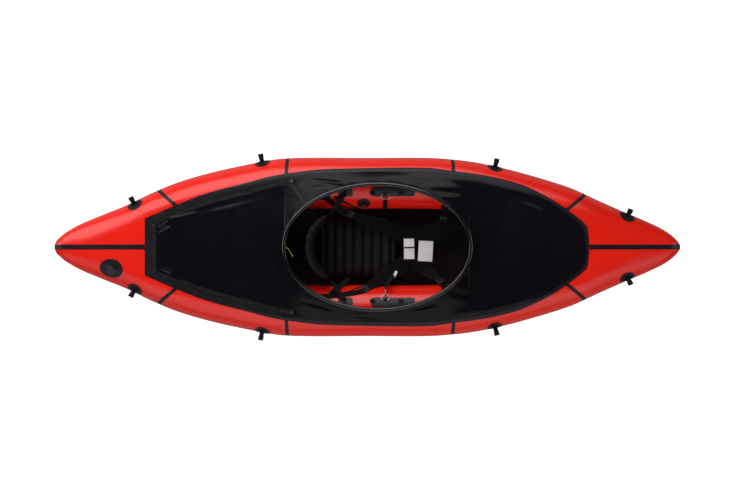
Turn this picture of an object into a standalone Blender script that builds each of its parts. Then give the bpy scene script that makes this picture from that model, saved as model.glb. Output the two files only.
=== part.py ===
"""Decked packraft: an inflatable hull of welded fabric panels with a deck, a cockpit coaming,
a zipped rear deck, valves, a seat, a backrest, thigh straps and tie-down loops.

+X points to the bow, +Y to port and +Z up. The origin is at the middle of the hull's length
and beam, on the underside of the floor. Lengths are in metres and angles in degrees.
"""

import math

import bmesh
import bpy
from mathutils import Matrix, Vector

# Hull
HULL_LENGTH = 2.94
HULL_BEAM = 0.855
TUBE_DIAMETER = 0.244
TIP_RISE = 0.12
SKIN = 0.001
FLOOR_THICKNESS = 0.0012
DECK_BOW_X = 1.031
DECK_STERN_X = -1.041
FRONT_SEAM_X = 0.4056
REAR_SEAM_X = -0.3816
GAP = 0.0003
PANEL_GAP = 0.0008

# Shares of half the length: where the tubes start to rise towards the tips
ROCKER_START_SHARE = 0.35
# Station as a share of half the length, half width as a share of half the beam
BOW_WIDTH_SHARES = (
    (0.0, 1.0), (0.1975, 1.0), (0.276, 0.983), (0.354, 0.949), (0.4325, 0.892), (0.510, 0.824),
    (0.588, 0.744), (0.6646, 0.652), (0.741, 0.527), (0.816, 0.408), (0.890, 0.295),
    (0.939, 0.211), (0.966, 0.150), (0.984, 0.094), (0.9937, 0.055), (1.0, 0.012),
)
STERN_WIDTH_SHARES = (
    (0.0, 1.0), (0.2335, 1.0), (0.312, 0.977), (0.390, 0.926), (0.468, 0.869), (0.546, 0.800),
    (0.623, 0.715), (0.700, 0.601), (0.775, 0.471), (0.850, 0.3625), (0.923, 0.250),
    (0.966, 0.161), (0.984, 0.105), (0.9937, 0.0715), (1.0, 0.012),
)
# Station, and half height as a share of the tube's radius
BOW_HEIGHT_SHARES = (
    (0.0, 1.0), (0.40, 1.0), (0.55, 0.985), (0.716, 0.94), (0.816, 0.78), (0.89, 0.64),
    (0.939, 0.53), (0.966, 0.45), (0.984, 0.32), (0.9937, 0.20), (1.0, 0.05),
)
STERN_HEIGHT_SHARES = (
    (0.0, 1.0), (0.40, 1.0), (0.55, 0.985), (0.723, 0.94), (0.85, 0.74), (0.923, 0.56),
    (0.966, 0.46), (0.984, 0.35), (0.9937, 0.24), (1.0, 0.05),
)
# Station, and half width of a cone's flat top as a share of its own half width
BOW_FLAT_SHARES = ((0.7014, 0.548), (0.816, 0.30), (0.89, 0.08), (0.939, 0.0), (1.0, 0.0))
STERN_FLAT_SHARES = ((0.708, 0.541), (0.816, 0.31), (0.89, 0.08), (0.939, 0.0), (1.0, 0.0))
# Station, and half width of the deck as a share of the hull's half width there
BOW_DECK_SHARES = (
    (0.0, 0.872), (0.20, 0.872), (0.271, 0.852), (0.348, 0.845), (0.4245, 0.840), (0.500, 0.812),
    (0.5755, 0.725), (0.6115, 0.654), (0.650, 0.557), (0.688, 0.424), (0.7014, 0.322),
)
STERN_DECK_SHARES = (
    (0.0, 0.872), (0.153, 0.852), (0.230, 0.823), (0.307, 0.796), (0.383, 0.763), (0.459, 0.734),
    (0.534, 0.697), (0.6095, 0.630), (0.647, 0.595), (0.685, 0.557), (0.708, 0.529),
)
# Stations of the cones' rings, as shares of half the length
CONE_RING_SHARES = (0.74, 0.785, 0.83, 0.875, 0.915, 0.945, 0.968, 0.984, 0.9965)
TUBE_SIDES = 20
REAR_PANEL_STEPS = 9
MIDDLE_PANEL_STEPS = 8
FRONT_PANEL_STEPS = 10
# Rows of the front deck from its edge to the coaming, and columns of the rear flap
FRONT_DECK_ROW_SHARES = (0.0, 0.07, 0.15, 0.25, 0.37, 0.52, 0.75, 1.0)
FLAP_COLUMN_SHARES = (1.0, 0.93, 0.84, 0.72, 0.56, 0.3, 0.0, -0.3, -0.56, -0.72, -0.84, -0.93, -1.0)
HINGE_EDGE_STEPS = 10
PATCH_SIDES = 14
TURNED_STEPS = 18

# Deck, coaming and rear zip
DECK_THICKNESS = 0.001
DECK_LIFT = 0.0024
DECK_SPREAD_LIFT = 0.005
LIFT_RAMP = 0.03
STRIP_WIDTH = 0.017
STRIP_LIFT = 0.0015
DECK_BOW_BULGE = 0.005
COAMING_CENTRE_X = 0.046
COAMING_LENGTH = 0.89
COAMING_WIDTH = 0.604
HOOP_DIAMETER = 0.020
HOOP_CENTRE_Z = 0.315
COLLAR_WALL = 0.0015
COLLAR_BOTTOM_Z = 0.266
COAMING_BASE_Z = 0.285
DECK_END_DROP = 0.002
FLAP_HINGE_X = -0.418
HINGE_SLIT = 0.0005
ZIP_TAPE_WIDTH = 0.024
ZIP_THICKNESS = 0.0012
ZIP_SLIDER_LENGTH = 0.016
ZIP_SLIDER_WIDTH = 0.010
ZIP_SLIDER_HEIGHT = 0.006
ZIP_PULL_LENGTH = 0.032
ZIP_PULL_WIDTH = 0.007
ZIP_PULL_THICKNESS = 0.002

# Tape along the top of each cone
TAPE_THICKNESS = 0.0006
TAPE_LIFT = 0.0008
CENTRE_TAPE_WIDTH = 0.023

# Tie-downs: where they sit along the hull, and how high round the tube in degrees
TIE_DOWN_PLACES = (("stern", -1.095, 37.0), ("rear", -0.500, 24.0), ("front", 0.606, 24.0), ("bow", 1.222, 34.0))
TIE_DOWN_PATCH_DIAMETER = 0.074
PATCH_THICKNESS = 0.0015
PATCH_LIFT = 0.0009
STERN_PATCH_LIFT = 0.0015
LOOP_LENGTH = 0.044
LOOP_HEIGHT = 0.016
LOOP_WIDTH = 0.025
WEBBING_THICKNESS = 0.0018

# Valves
MAIN_VALVE_X = -1.198
MAIN_VALVE_ANGLE = 67.0
MAIN_PATCH_LENGTH = 0.110
MAIN_PATCH_WIDTH = 0.096
VALVE_FLANGE_DIAMETER = 0.054
VALVE_FLANGE_THICKNESS = 0.0025
VALVE_BODY_DIAMETER = 0.038
VALVE_BODY_HEIGHT = 0.011
VALVE_BORE_DIAMETER = 0.029
VALVE_FLOOR_THICKNESS = 0.002
VALVE_CAP_WALL = 0.0022
VALVE_CLEARANCE = 0.0005
PLUNGER_HEIGHT = 0.0035
PLUNGER_TRAVEL = 0.003
MOUTH_VALVE_X = -0.018
MOUTH_VALVE_ANGLE = 144.0
MOUTH_PATCH_DIAMETER = 0.064
MOUTH_STEM_DIAMETER = 0.016
MOUTH_STEM_HEIGHT = 0.016
MOUTH_FLANGE_DIAMETER = 0.030
NOZZLE_DIAMETER = 0.022
NOZZLE_HEIGHT = 0.012
NOZZLE_COVER = 0.007

# Seat, backrest and foot brace
SEAT_REAR_X = -0.250
SEAT_LENGTH = 0.408
SEAT_WIDTH = 0.328
SEAT_HEIGHT = 0.080
SEAT_CHANNELS = 9
BACKREST_REAR_X = -0.299
BACKREST_CURVE_RADIUS = 0.180
BACKREST_THICKNESS = 0.045
BACKREST_HEIGHT = 0.180
BACKREST_MIDDLE_Z = 0.205
BACKREST_SWEEP = 67.0
BACKREST_TAB_WIDTH = 0.060
FOOT_BRACE_X = 0.545
FOOT_BRACE_DIAMETER = 0.105
FOOT_BRACE_LENGTH = 0.300

# Straps, rings and the pull cord
STRAP_WIDTH = 0.025
THIGH_PAD_THICKNESS = 0.005
RING_PATCH_START_X = 0.017
RING_PATCH_END_X = 0.224
RING_PATCH_LOW_ANGLE = 124.0
RING_PATCH_HIGH_ANGLE = 100.0
RING_X = 0.084
RING_ANGLE = 117.0
RING_LENGTH = 0.042
RING_WIDTH = 0.026
RING_WIRE = 0.004
RING_STAND = 20.0
RING_STRAP_WIDTH = 0.022
HOOK_WIRE = 0.0045
HOOK_LENGTH = 0.040
HOOK_WIDTH = 0.016
HOOK_STRAP_WIDTH = 0.020
GATE_WIRE = 0.0032
PULL_CORD_DIAMETER = 0.003

TUBE_RADIUS = TUBE_DIAMETER / 2
HALF_LENGTH = HULL_LENGTH / 2
HALF_BEAM = HULL_BEAM / 2
TUBE_CENTRE_Z = FLOOR_THICKNESS + GAP + TUBE_RADIUS
FLAP_HINGE_Z = COAMING_BASE_Z + DECK_THICKNESS
MERGE_DISTANCE = GAP / 6

RED = (0.80, 0.055, 0.03, 1.0)
BLACK = (0.012, 0.011, 0.014, 1.0)
DARK_GREY = (0.045, 0.045, 0.05, 1.0)
STEEL = (0.62, 0.62, 0.63, 1.0)
YELLOW = (0.55, 0.60, 0.05, 1.0)

MODEL_COLLECTION = "packraft"
CUTTER_COLLECTION = "cutters"


def clear_scene():
    """Removes every object of the open file and makes the two collections."""
    for old in list(bpy.data.objects):
        bpy.data.objects.remove(old, do_unlink=True)
    for name in (MODEL_COLLECTION, CUTTER_COLLECTION):
        group = bpy.data.collections.get(name) or bpy.data.collections.new(name)
        if group.name not in bpy.context.scene.collection.children:
            bpy.context.scene.collection.children.link(group)


def finish_material(name, colour, roughness, metallic=0.0):
    """A Principled material with the part's colour, roughness and metallic value."""
    material = bpy.data.materials.new(name)
    material.use_nodes = True
    shader = material.node_tree.nodes["Principled BSDF"]
    shader.inputs["Base Color"].default_value = colour
    shader.inputs["Roughness"].default_value = roughness
    shader.inputs["Metallic"].default_value = metallic
    material.diffuse_color = colour
    return material


def add_object(name, data, colour, roughness=0.5, metallic=0.0, parent=None):
    """Links a mesh or curve as one named sub-part with its own material."""
    part = bpy.data.objects.new(name, data)
    part.data.materials.clear()
    part.data.materials.append(finish_material(name, colour, roughness, metallic))
    bpy.data.collections[MODEL_COLLECTION].objects.link(part)
    if parent is not None:
        part.parent = parent
        part.matrix_parent_inverse = joint_matrix(parent).inverted()
    return part


def joint_matrix(empty):
    """World matrix of an empty that has no parent of its own."""
    return Matrix.LocRotScale(empty.location, empty.rotation_euler, None)


def add_joint(name, place):
    """An empty on a joint's axis, which carries the pieces that move with it."""
    empty = bpy.data.objects.new(name, None)
    empty.empty_display_size = HOOP_DIAMETER
    empty.location = place
    bpy.data.collections[MODEL_COLLECTION].objects.link(empty)
    return empty


def smooth_shade(mesh, angle=35.0):
    """Smooth shading with sharp edges past the angle."""
    mesh.shade_smooth()
    mesh.set_sharp_from_angle(angle=math.radians(angle))


def mesh_from(name, work):
    """Turns a bmesh into a mesh with its normals pointing out."""
    bmesh.ops.recalc_face_normals(work, faces=work.faces)
    mesh = bpy.data.meshes.new(name)
    work.to_mesh(mesh)
    work.free()
    return mesh


def thicken(part, thickness, offset=1.0):
    """Gives an open surface its wall."""
    wall = part.modifiers.new("wall", "SOLIDIFY")
    wall.thickness = thickness
    wall.offset = offset
    wall.use_even_offset = True
    return wall


def round_edges(part, width, segments=2):
    """Rounds the sharp edges of a piece."""
    bevel = part.modifiers.new("edges", "BEVEL")
    bevel.width = width
    bevel.segments = segments
    bevel.limit_method = "ANGLE"
    return bevel


def grid_surface(rows, closed_rows=False, closed_columns=False):
    """An open surface through rows of points, each row as long as the next."""
    work = bmesh.new()
    made = [[work.verts.new(point) for point in row] for row in rows]
    row_count = len(made)
    column_count = len(made[0])
    for i in range(row_count if closed_columns else row_count - 1):
        above = made[(i + 1) % row_count]
        for j in range(column_count if closed_rows else column_count - 1):
            k = (j + 1) % column_count
            work.faces.new((made[i][j], made[i][k], above[k], above[j]))
    return work, made


def face_outwards(work, away_from):
    """Turns an open surface so that its faces look away from a point."""
    bmesh.ops.recalc_face_normals(work, faces=work.faces)
    score = sum((face.calc_center_median() - away_from).dot(face.normal) for face in work.faces)
    if score < 0:
        bmesh.ops.reverse_faces(work, faces=work.faces)


def surface_object(name, work, away_from, thickness, colour, roughness=0.5, parent=None, offset=1.0):
    """An open surface made a sub-part with a wall."""
    face_outwards(work, Vector(away_from))
    mesh = bpy.data.meshes.new(name)
    work.to_mesh(mesh)
    work.free()
    smooth_shade(mesh)
    part = add_object(name, mesh, colour, roughness, parent=parent)
    thicken(part, thickness, offset)
    return part


def smooth_value(table, place):
    """A smooth curve through a table of pairs, read at one place."""
    if place <= table[0][0]:
        return table[0][1]
    if place >= table[-1][0]:
        return table[-1][1]
    last = len(table) - 1
    i = next(k for k in range(last) if place <= table[k + 1][0])

    def slope(k):
        low = max(k - 1, 0)
        high = min(k + 1, last)
        return (table[high][1] - table[low][1]) / (table[high][0] - table[low][0])

    span = table[i + 1][0] - table[i][0]
    t = (place - table[i][0]) / span
    start, end = table[i][1], table[i + 1][1]
    bend = (1 - t) * slope(i) - t * slope(i + 1) + (2 * t - 1) * (end - start) / span
    return start + (end - start) * t + t * (1 - t) * span * bend


def hull_half_width(x):
    """Half width of the whole hull at x."""
    table = BOW_WIDTH_SHARES if x > 0 else STERN_WIDTH_SHARES
    return HALF_BEAM * smooth_value(table, abs(x) / HALF_LENGTH)


def tube_section(x):
    """Centre offset, half width, half height and centre height of the tube on one side at x."""
    station = abs(x) / HALF_LENGTH
    half = hull_half_width(x)
    height = TUBE_RADIUS * smooth_value(BOW_HEIGHT_SHARES if x > 0 else STERN_HEIGHT_SHARES, station)
    flat_shares = BOW_FLAT_SHARES if x > 0 else STERN_FLAT_SHARES
    centre = half - height
    if x > DECK_BOW_X or x < DECK_STERN_X:
        centre = half * max(0.0, smooth_value(flat_shares, station))
    rise = max(0.0, (station - ROCKER_START_SHARE) / (1 - ROCKER_START_SHARE))
    return centre, half - centre, height, TUBE_CENTRE_Z + TIP_RISE * rise ** 2


def skin_point(x, side, angle, lift=0.0):
    """A point on the hull: 0 degrees is outboard, 90 up. A lift raises it off the skin."""
    centre, width, height, middle = tube_section(x)
    turn = math.radians(angle)
    y = side * (centre + (width + lift) * math.cos(turn))
    return Vector((x, y, middle + (height + lift) * math.sin(turn)))


def cover_height(x, y):
    """Height of a sheet laid over the hull from above, flat between the tubes' tops."""
    centre, width, height, middle = tube_section(x)
    outside = max(0.0, abs(y) - centre) / width
    return middle + height * math.sqrt(max(0.0, 1 - min(1.0, outside) ** 2))


def spread(start, end, steps):
    """Evenly spaced values with both ends."""
    return [start + (end - start) * i / steps for i in range(steps + 1)]


REAR_STATIONS = spread(DECK_STERN_X, REAR_SEAM_X, REAR_PANEL_STEPS)
MIDDLE_STATIONS = spread(REAR_SEAM_X, FRONT_SEAM_X, MIDDLE_PANEL_STEPS)
MIDDLE_RINGS = MIDDLE_STATIONS[::2]
FRONT_STATIONS = spread(FRONT_SEAM_X, DECK_BOW_X, FRONT_PANEL_STEPS)


def tube_ring(x, side):
    """One ring of a side tube."""
    return [skin_point(x, side, 360.0 * i / TUBE_SIDES) for i in range(TUBE_SIDES)]


def make_tube_panel(name, side, stations):
    """One welded panel of a side tube, open at both ends where its neighbours join it."""
    rings = [tube_ring(x, side) for x in stations]
    half_gap = Vector((PANEL_GAP / 2, 0.0, 0.0))
    rings[0] = [point + half_gap for point in rings[0]]
    rings[-1] = [point - half_gap for point in rings[-1]]
    work, _ = grid_surface(rings, closed_rows=True)
    middle = sum((point for ring in rings for point in ring), Vector()) / (len(rings) * TUBE_SIDES)
    return surface_object(name, work, middle, SKIN, RED, 0.35, offset=-1.0)


def make_cone(name, direction):
    """A closed nose cone: wide with a flat top at the deck, round at the tip."""
    base_x = DECK_BOW_X if direction > 0 else DECK_STERN_X
    stations = [base_x] + [direction * HALF_LENGTH * share for share in CONE_RING_SHARES]
    half_turns = [-90.0 + 360.0 * i / TUBE_SIDES for i in range(TUBE_SIDES // 2 + 1)]
    rings = []
    for x in stations:
        port = [skin_point(x, 1, turn) for turn in half_turns]
        starboard = [skin_point(x, -1, turn) for turn in reversed(half_turns)]
        rings.append(port + starboard)
    shift = Vector((direction * PANEL_GAP / 2, 0.0, 0.0))
    rings[0] = [point + shift for point in rings[0]]
    work, made = grid_surface(rings, closed_rows=True)
    work.faces.new(made[-1])
    bmesh.ops.remove_doubles(work, verts=work.verts, dist=GAP)
    return surface_object(name, work, (base_x, 0.0, TUBE_CENTRE_Z), SKIN, RED, 0.35, offset=-1.0)


def make_hull():
    """Six tube panels and two cones."""
    for side, word in ((1, "port"), (-1, "starboard")):
        make_tube_panel(word + "_tube_rear", side, REAR_STATIONS)
        make_tube_panel(word + "_tube_middle", side, MIDDLE_RINGS)
        make_tube_panel(word + "_tube_front", side, FRONT_STATIONS)
    make_cone("bow_cone", 1)
    make_cone("stern_cone", -1)


def make_floor():
    """The flat bottom sheet, welded under the tubes and turned up with them at the ends."""
    stations = REAR_STATIONS + MIDDLE_STATIONS[1:] + FRONT_STATIONS[1:]
    rows = []
    for x in stations:
        centre, _, height, middle = tube_section(x)
        z = middle - height - GAP
        rows.append([Vector((x, centre * share, z)) for share in (-1.0, -0.5, 0.0, 0.5, 1.0)])
    work, _ = grid_surface(rows)
    return surface_object("floor_panel", work, (0.0, 0.0, TUBE_RADIUS), FLOOR_THICKNESS, BLACK, 0.6)


def deck_half_width(x):
    """Half width of the deck at x, measured to the outer edge of its seam strip."""
    table = BOW_DECK_SHARES if x > 0 else STERN_DECK_SHARES
    return hull_half_width(x) * smooth_value(table, abs(x) / HALF_LENGTH)


def hinge_stations():
    """Stations of the deck's edge from the bow to the stern, one of them on the flap's hinge."""
    stations = REAR_STATIONS + MIDDLE_STATIONS[1:] + FRONT_STATIONS[1:]
    stations = [x for x in stations if abs(x - FLAP_HINGE_X) > ZIP_SLIDER_LENGTH]
    return sorted(stations + [FLAP_HINGE_X], reverse=True)


def deck_outline():
    """The deck's outer edge seen from above, anticlockwise from the middle of the bow end."""
    side = [Vector((x, deck_half_width(x), 0.0)) for x in hinge_stations()]
    mirrored = [Vector((point.x, -point.y, 0.0)) for point in reversed(side)]
    corner = side[-1].y
    transom = [Vector((DECK_STERN_X, corner * share, 0.0)) for share in (0.5, 0.0, -0.5)]
    return [Vector((DECK_BOW_X + DECK_BOW_BULGE, 0.0, 0.0))] + side + transom + mirrored


def inset(outline, distance):
    """An outline moved inwards by a distance, with mitred corners."""
    moved = []
    count = len(outline)
    for i, point in enumerate(outline):
        before = (point - outline[i - 1]).normalized()
        after = (outline[(i + 1) % count] - point).normalized()
        first = Vector((-before.y, before.x, 0.0))
        second = Vector((-after.y, after.x, 0.0))
        moved.append(point + (first + second) * distance / (1 + first.dot(second)))
    return moved


def laid_on_hull(outline, lift):
    """An outline seen from above, laid on the hull."""
    return [Vector((p.x, p.y, cover_height(p.x, p.y) + lift)) for p in outline]


def hinge_indices():
    """Where the port and the starboard end of the flap's hinge come in the outline."""
    port = 1 + hinge_stations().index(FLAP_HINGE_X)
    return port, len(deck_outline()) - port


def make_seam_strip():
    """The welded strip along the deck's outer edge, one closed loop."""
    outer = laid_on_hull(deck_outline(), STRIP_LIFT)
    inner = laid_on_hull(inset(deck_outline(), STRIP_WIDTH), STRIP_LIFT)
    work, _ = grid_surface([outer, inner], closed_rows=True)
    return surface_object("deck_seam_strip", work, (0.0, 0.0, 0.0), DECK_THICKNESS, DARK_GREY, 0.4)


def coaming_half_width(x):
    """Half width of the coaming's centre line at x, zero past its ends."""
    across = (x - COAMING_CENTRE_X) / ((COAMING_LENGTH - HOOP_DIAMETER) / 2)
    return (COAMING_WIDTH - HOOP_DIAMETER) / 2 * math.sqrt(max(0.0, 1 - across ** 2))


def ridge_height(x):
    """Height of the deck along its middle, from the coaming down to each end."""
    reach = (COAMING_LENGTH - HOOP_DIAMETER) / 2
    front = COAMING_CENTRE_X + reach
    rear = COAMING_CENTRE_X - reach
    if rear <= x <= front:
        return COAMING_BASE_Z
    end = DECK_BOW_X if x > front else zip_line_x()
    start = front if x > front else rear
    share = min(1.0, (x - start) / (end - start))
    end_z = cover_height(end, 0.0) + DECK_SPREAD_LIFT - DECK_END_DROP
    return COAMING_BASE_Z + (end_z - COAMING_BASE_Z) * share


def deck_height(x, y):
    """Height of the deck sheet: stretched from the seam strip to the coaming and over the tubes."""
    edge = deck_half_width(x) - STRIP_WIDTH
    edge_z = cover_height(x, edge) + DECK_LIFT
    ridge_y = coaming_half_width(x)
    inside = min(1.0, max(0.0, (edge - abs(y)) / (edge - ridge_y)))
    crown = inside + inside * (1 - inside) / 4
    tent = edge_z + (ridge_height(x) - edge_z) * crown
    ramp = min(1.0, max(0.0, edge - abs(y)) / LIFT_RAMP)
    end_distance = min(abs(DECK_BOW_X - x), abs(x - DECK_STERN_X))
    ramp = min(ramp, end_distance / LIFT_RAMP)
    resting = cover_height(x, y) + DECK_LIFT + (DECK_SPREAD_LIFT - DECK_LIFT) * ramp
    return max(tent, resting)


def on_deck(x, y):
    """A point of the deck sheet."""
    return Vector((x, y, deck_height(x, y)))


def front_deck_outline():
    """The front deck's outer edge: starboard hinge end, bow, port hinge end, then the slit."""
    port, starboard = hinge_indices()
    around = inset(deck_outline(), STRIP_WIDTH + PANEL_GAP)
    edge = around[starboard:] + around[:port + 1]
    slit_x = FLAP_HINGE_X + HINGE_SLIT / 2
    edge[0].x = slit_x
    edge[-1].x = slit_x
    across = spread(edge[-1].y, edge[0].y, HINGE_EDGE_STEPS)[1:-1]
    return edge + [Vector((slit_x, y, 0.0)) for y in across]


def coaming_outline(offset):
    """The coaming's oval, its points in line with those of the front deck's outer edge."""
    length = (COAMING_LENGTH - HOOP_DIAMETER) / 2 + offset
    width = (COAMING_WIDTH - HOOP_DIAMETER) / 2 + offset
    oval = []
    for point in front_deck_outline():
        turn = math.atan2(point.y / width, (point.x - COAMING_CENTRE_X) / length)
        oval.append(Vector((COAMING_CENTRE_X + length * math.cos(turn), width * math.sin(turn), 0.0)))
    return oval


def make_front_deck():
    """Front and side deck: one sheet from the seam strip to the coaming's collar."""
    outer = front_deck_outline()
    inner = coaming_outline(COLLAR_WALL + GAP)
    rows = []
    for share in FRONT_DECK_ROW_SHARES:
        flat = [a.lerp(b, share) for a, b in zip(outer, inner)]
        rows.append([on_deck(p.x, p.y) for p in flat])
    work, _ = grid_surface(rows, closed_rows=True)
    return surface_object("front_deck", work, (0.0, 0.0, 0.0), DECK_THICKNESS, BLACK, 0.3)


def make_coaming():
    """The fabric collar and the bent hoop that it carries."""
    outline = coaming_outline(0.0)
    top = HOOP_CENTRE_Z - HOOP_DIAMETER / 2 - GAP
    heights = spread(COLLAR_BOTTOM_Z, top, 2)
    rows = [[Vector((p.x, p.y, z)) for p in outline] for z in heights]
    work, _ = grid_surface(rows, closed_rows=True)
    centre = (COAMING_CENTRE_X, 0.0, HOOP_CENTRE_Z)
    surface_object("coaming_collar", work, centre, COLLAR_WALL, BLACK, 0.3)
    curve = bpy.data.curves.new("coaming_hoop", "CURVE")
    curve.dimensions = "3D"
    curve.bevel_depth = HOOP_DIAMETER / 2
    curve.bevel_resolution = 2
    spline = curve.splines.new("POLY")
    spline.points.add(len(outline) - 1)
    spline.use_cyclic_u = True
    for place, point in zip(spline.points, outline):
        place.co = (point.x, point.y, HOOP_CENTRE_Z, 1.0)
    return add_object("coaming_hoop", curve, BLACK, 0.2)


def flap_edge():
    """Port edge of the rear deck flap, from the hinge to the transom corner."""
    port, _ = hinge_indices()
    side_count = len(hinge_stations())
    depth = STRIP_WIDTH + ZIP_TAPE_WIDTH + 2 * PANEL_GAP
    edge = inset(deck_outline(), depth)[port:side_count + 1]
    edge[0].x = FLAP_HINGE_X - HINGE_SLIT / 2
    return edge


def make_rear_flap(joint):
    """The rear deck, which unzips round the stern and folds forward."""
    rows = []
    for point in flap_edge():
        rows.append([on_deck(point.x, point.y * share) for share in FLAP_COLUMN_SHARES])
    work, _ = grid_surface(rows)
    return surface_object("rear_deck_flap", work, (0.0, 0.0, 0.0), DECK_THICKNESS, BLACK, 0.3, joint)


def make_zip_tape(name, depth):
    """The hull's half of the rear zip, laid round the stern inside the seam strip."""
    port, starboard = hinge_indices()
    outer = laid_on_hull(inset(deck_outline(), depth), STRIP_LIFT)[port:starboard + 1]
    inner = laid_on_hull(inset(deck_outline(), depth + ZIP_TAPE_WIDTH), STRIP_LIFT)[port:starboard + 1]
    for row in (outer, inner):
        row[0].x = FLAP_HINGE_X - HINGE_SLIT / 2
        row[-1].x = FLAP_HINGE_X - HINGE_SLIT / 2
    work, _ = grid_surface([outer, inner])
    return surface_object(name, work, (0.0, 0.0, 0.0), ZIP_THICKNESS, DARK_GREY, 0.5)


def make_centre_tape(name, direction):
    """The tape along the top of a cone, round its tip and back underneath."""
    start = DECK_BOW_X + DECK_BOW_BULGE if direction > 0 else DECK_STERN_X
    start += direction * GAP
    stations = [start] + [direction * HALF_LENGTH * share for share in CONE_RING_SHARES]
    rows = []
    for up in (1, -1):
        points = []
        for x in stations:
            _, _, height, middle = tube_section(x)
            points.append((x + direction * TAPE_LIFT, middle + up * (height + TAPE_LIFT)))
        rows += points if up > 0 else reversed(points)
    half = CENTRE_TAPE_WIDTH / 2
    work, _ = grid_surface([[Vector((x, y, z)) for y in (-half, half)] for x, z in rows])
    centre = (start, 0.0, TUBE_CENTRE_Z + TIP_RISE / 2)
    return surface_object(name, work, centre, TAPE_THICKNESS, BLACK, 0.45)


def skin_frame(x, side, angle, lift):
    """A frame on the hull: local X runs to the bow, local Z stands off the skin."""
    place = skin_point(x, side, angle)
    along = skin_point(x + SKIN, side, angle) - skin_point(x - SKIN, side, angle)
    around = skin_point(x, side, angle + 1) - skin_point(x, side, angle - 1)
    forward = along.normalized()
    normal = forward.cross(around).normalized()
    if normal.dot(skin_point(x, side, angle, TUBE_RADIUS) - place) < 0:
        normal = -normal
    across = normal.cross(forward)
    turn = Matrix((forward, across, normal)).transposed().to_4x4()
    return Matrix.Translation(place + normal * lift) @ turn


def place_part(part, frame, parent=None):
    """Puts a part that is modelled about its own origin at a frame, under its joint's empty."""
    part.matrix_basis = frame
    if parent is not None:
        part.parent = parent
        part.matrix_parent_inverse = joint_matrix(parent).inverted()
    return part


def skin_slant(x, side, angle):
    """How the skin's lengthwise lines run at a place: way round per way along, and stretch."""
    along = (skin_point(x + SKIN, side, angle) - skin_point(x - SKIN, side, angle)) / (2 * SKIN)
    around = (skin_point(x, side, angle + 1) - skin_point(x, side, angle - 1)).normalized()
    lean = along.dot(around)
    return lean, (along - around * lean).length


def make_skin_patch(name, x, side, angle, length, width, lift=PATCH_LIFT):
    """An oval fabric patch welded on the skin."""
    lean, stretch = skin_slant(x, side, angle)
    work = bmesh.new()
    centre = work.verts.new(skin_point(x, side, angle, lift))
    rings = []
    for share in (0.55, 1.0):
        ring = []
        for i in range(PATCH_SIDES):
            turn = math.tau * i / PATCH_SIDES
            shift = length / 2 * share * math.cos(turn) / stretch
            round_by = width / 2 * share * math.sin(turn) - lean * shift
            spot = skin_point(x + shift, side,
                              angle + math.degrees(round_by / tube_section(x)[1]), lift)
            ring.append(work.verts.new(spot))
        rings.append(ring)
    for i in range(PATCH_SIDES):
        k = (i + 1) % PATCH_SIDES
        work.faces.new((centre, rings[0][i], rings[0][k]))
        work.faces.new((rings[0][i], rings[1][i], rings[1][k], rings[0][k]))
    inside = skin_point(x, side, angle, -TUBE_RADIUS / 2)
    return surface_object(name, work, inside, PATCH_THICKNESS, BLACK, 0.4)


def make_turned(name, profile, frame, colour, roughness=0.4, metallic=0.0, parent=None, closed=False):
    """A turned piece about local Z. The profile runs down the outer side, as radius and height."""
    mesh = bpy.data.meshes.new(name)
    edges = [(i, i + 1) for i in range(len(profile) - 1)]
    if closed:
        edges.append((len(profile) - 1, 0))
    mesh.from_pydata([(radius, 0.0, height) for radius, height in profile], edges, [])
    part = add_object(name, mesh, colour, roughness, metallic)
    turned = part.modifiers.new("turned", "SCREW")
    turned.axis = "Z"
    turned.angle = math.tau
    turned.steps = TURNED_STEPS
    turned.render_steps = TURNED_STEPS
    turned.use_merge_vertices = True
    turned.merge_threshold = MERGE_DISTANCE
    turned.use_smooth_shade = True
    return place_part(part, frame, parent)


def oval_points(length, height, steps):
    """A racetrack in a plane, its rear end's round centred on the origin."""
    radius = height / 2
    front = length - height
    points = []
    for i in range(steps + 1):
        turn = math.pi / 2 + math.pi * i / steps
        points.append((radius * math.cos(turn), radius * math.sin(turn)))
    for i in range(steps + 1):
        turn = -math.pi / 2 + math.pi * i / steps
        points.append((front + radius * math.cos(turn), radius * math.sin(turn)))
    return points


def make_tie_down(side, word, place_word, x, angle):
    """A patch on the tube and the webbing loop that swings on it."""
    name = "{}_{}_{}".format("tie_down", place_word, word)
    lift = STERN_PATCH_LIFT if x < DECK_STERN_X else PATCH_LIFT
    make_skin_patch(name + "_patch", x, side, angle,
                    TIE_DOWN_PATCH_DIAMETER, TIE_DOWN_PATCH_DIAMETER, lift)
    stand = lift + PATCH_THICKNESS + GAP + LOOP_HEIGHT / 2
    frame = skin_frame(x, side, angle, stand)
    joint = add_joint(name + "_joint", frame.translation)
    inner = oval_points(LOOP_LENGTH - 2 * WEBBING_THICKNESS, LOOP_HEIGHT - 2 * WEBBING_THICKNESS, 4)
    rows = [[Vector((shift, across, out)) for out, across in inner]
            for shift in (-LOOP_WIDTH / 2, LOOP_WIDTH / 2)]
    work, _ = grid_surface(rows, closed_rows=True)
    loop = surface_object(name + "_loop", work, (0.0, 0.0, LOOP_LENGTH / 2 - LOOP_HEIGHT / 2),
                          WEBBING_THICKNESS, BLACK, 0.7)
    place_part(loop, frame, joint)


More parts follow.
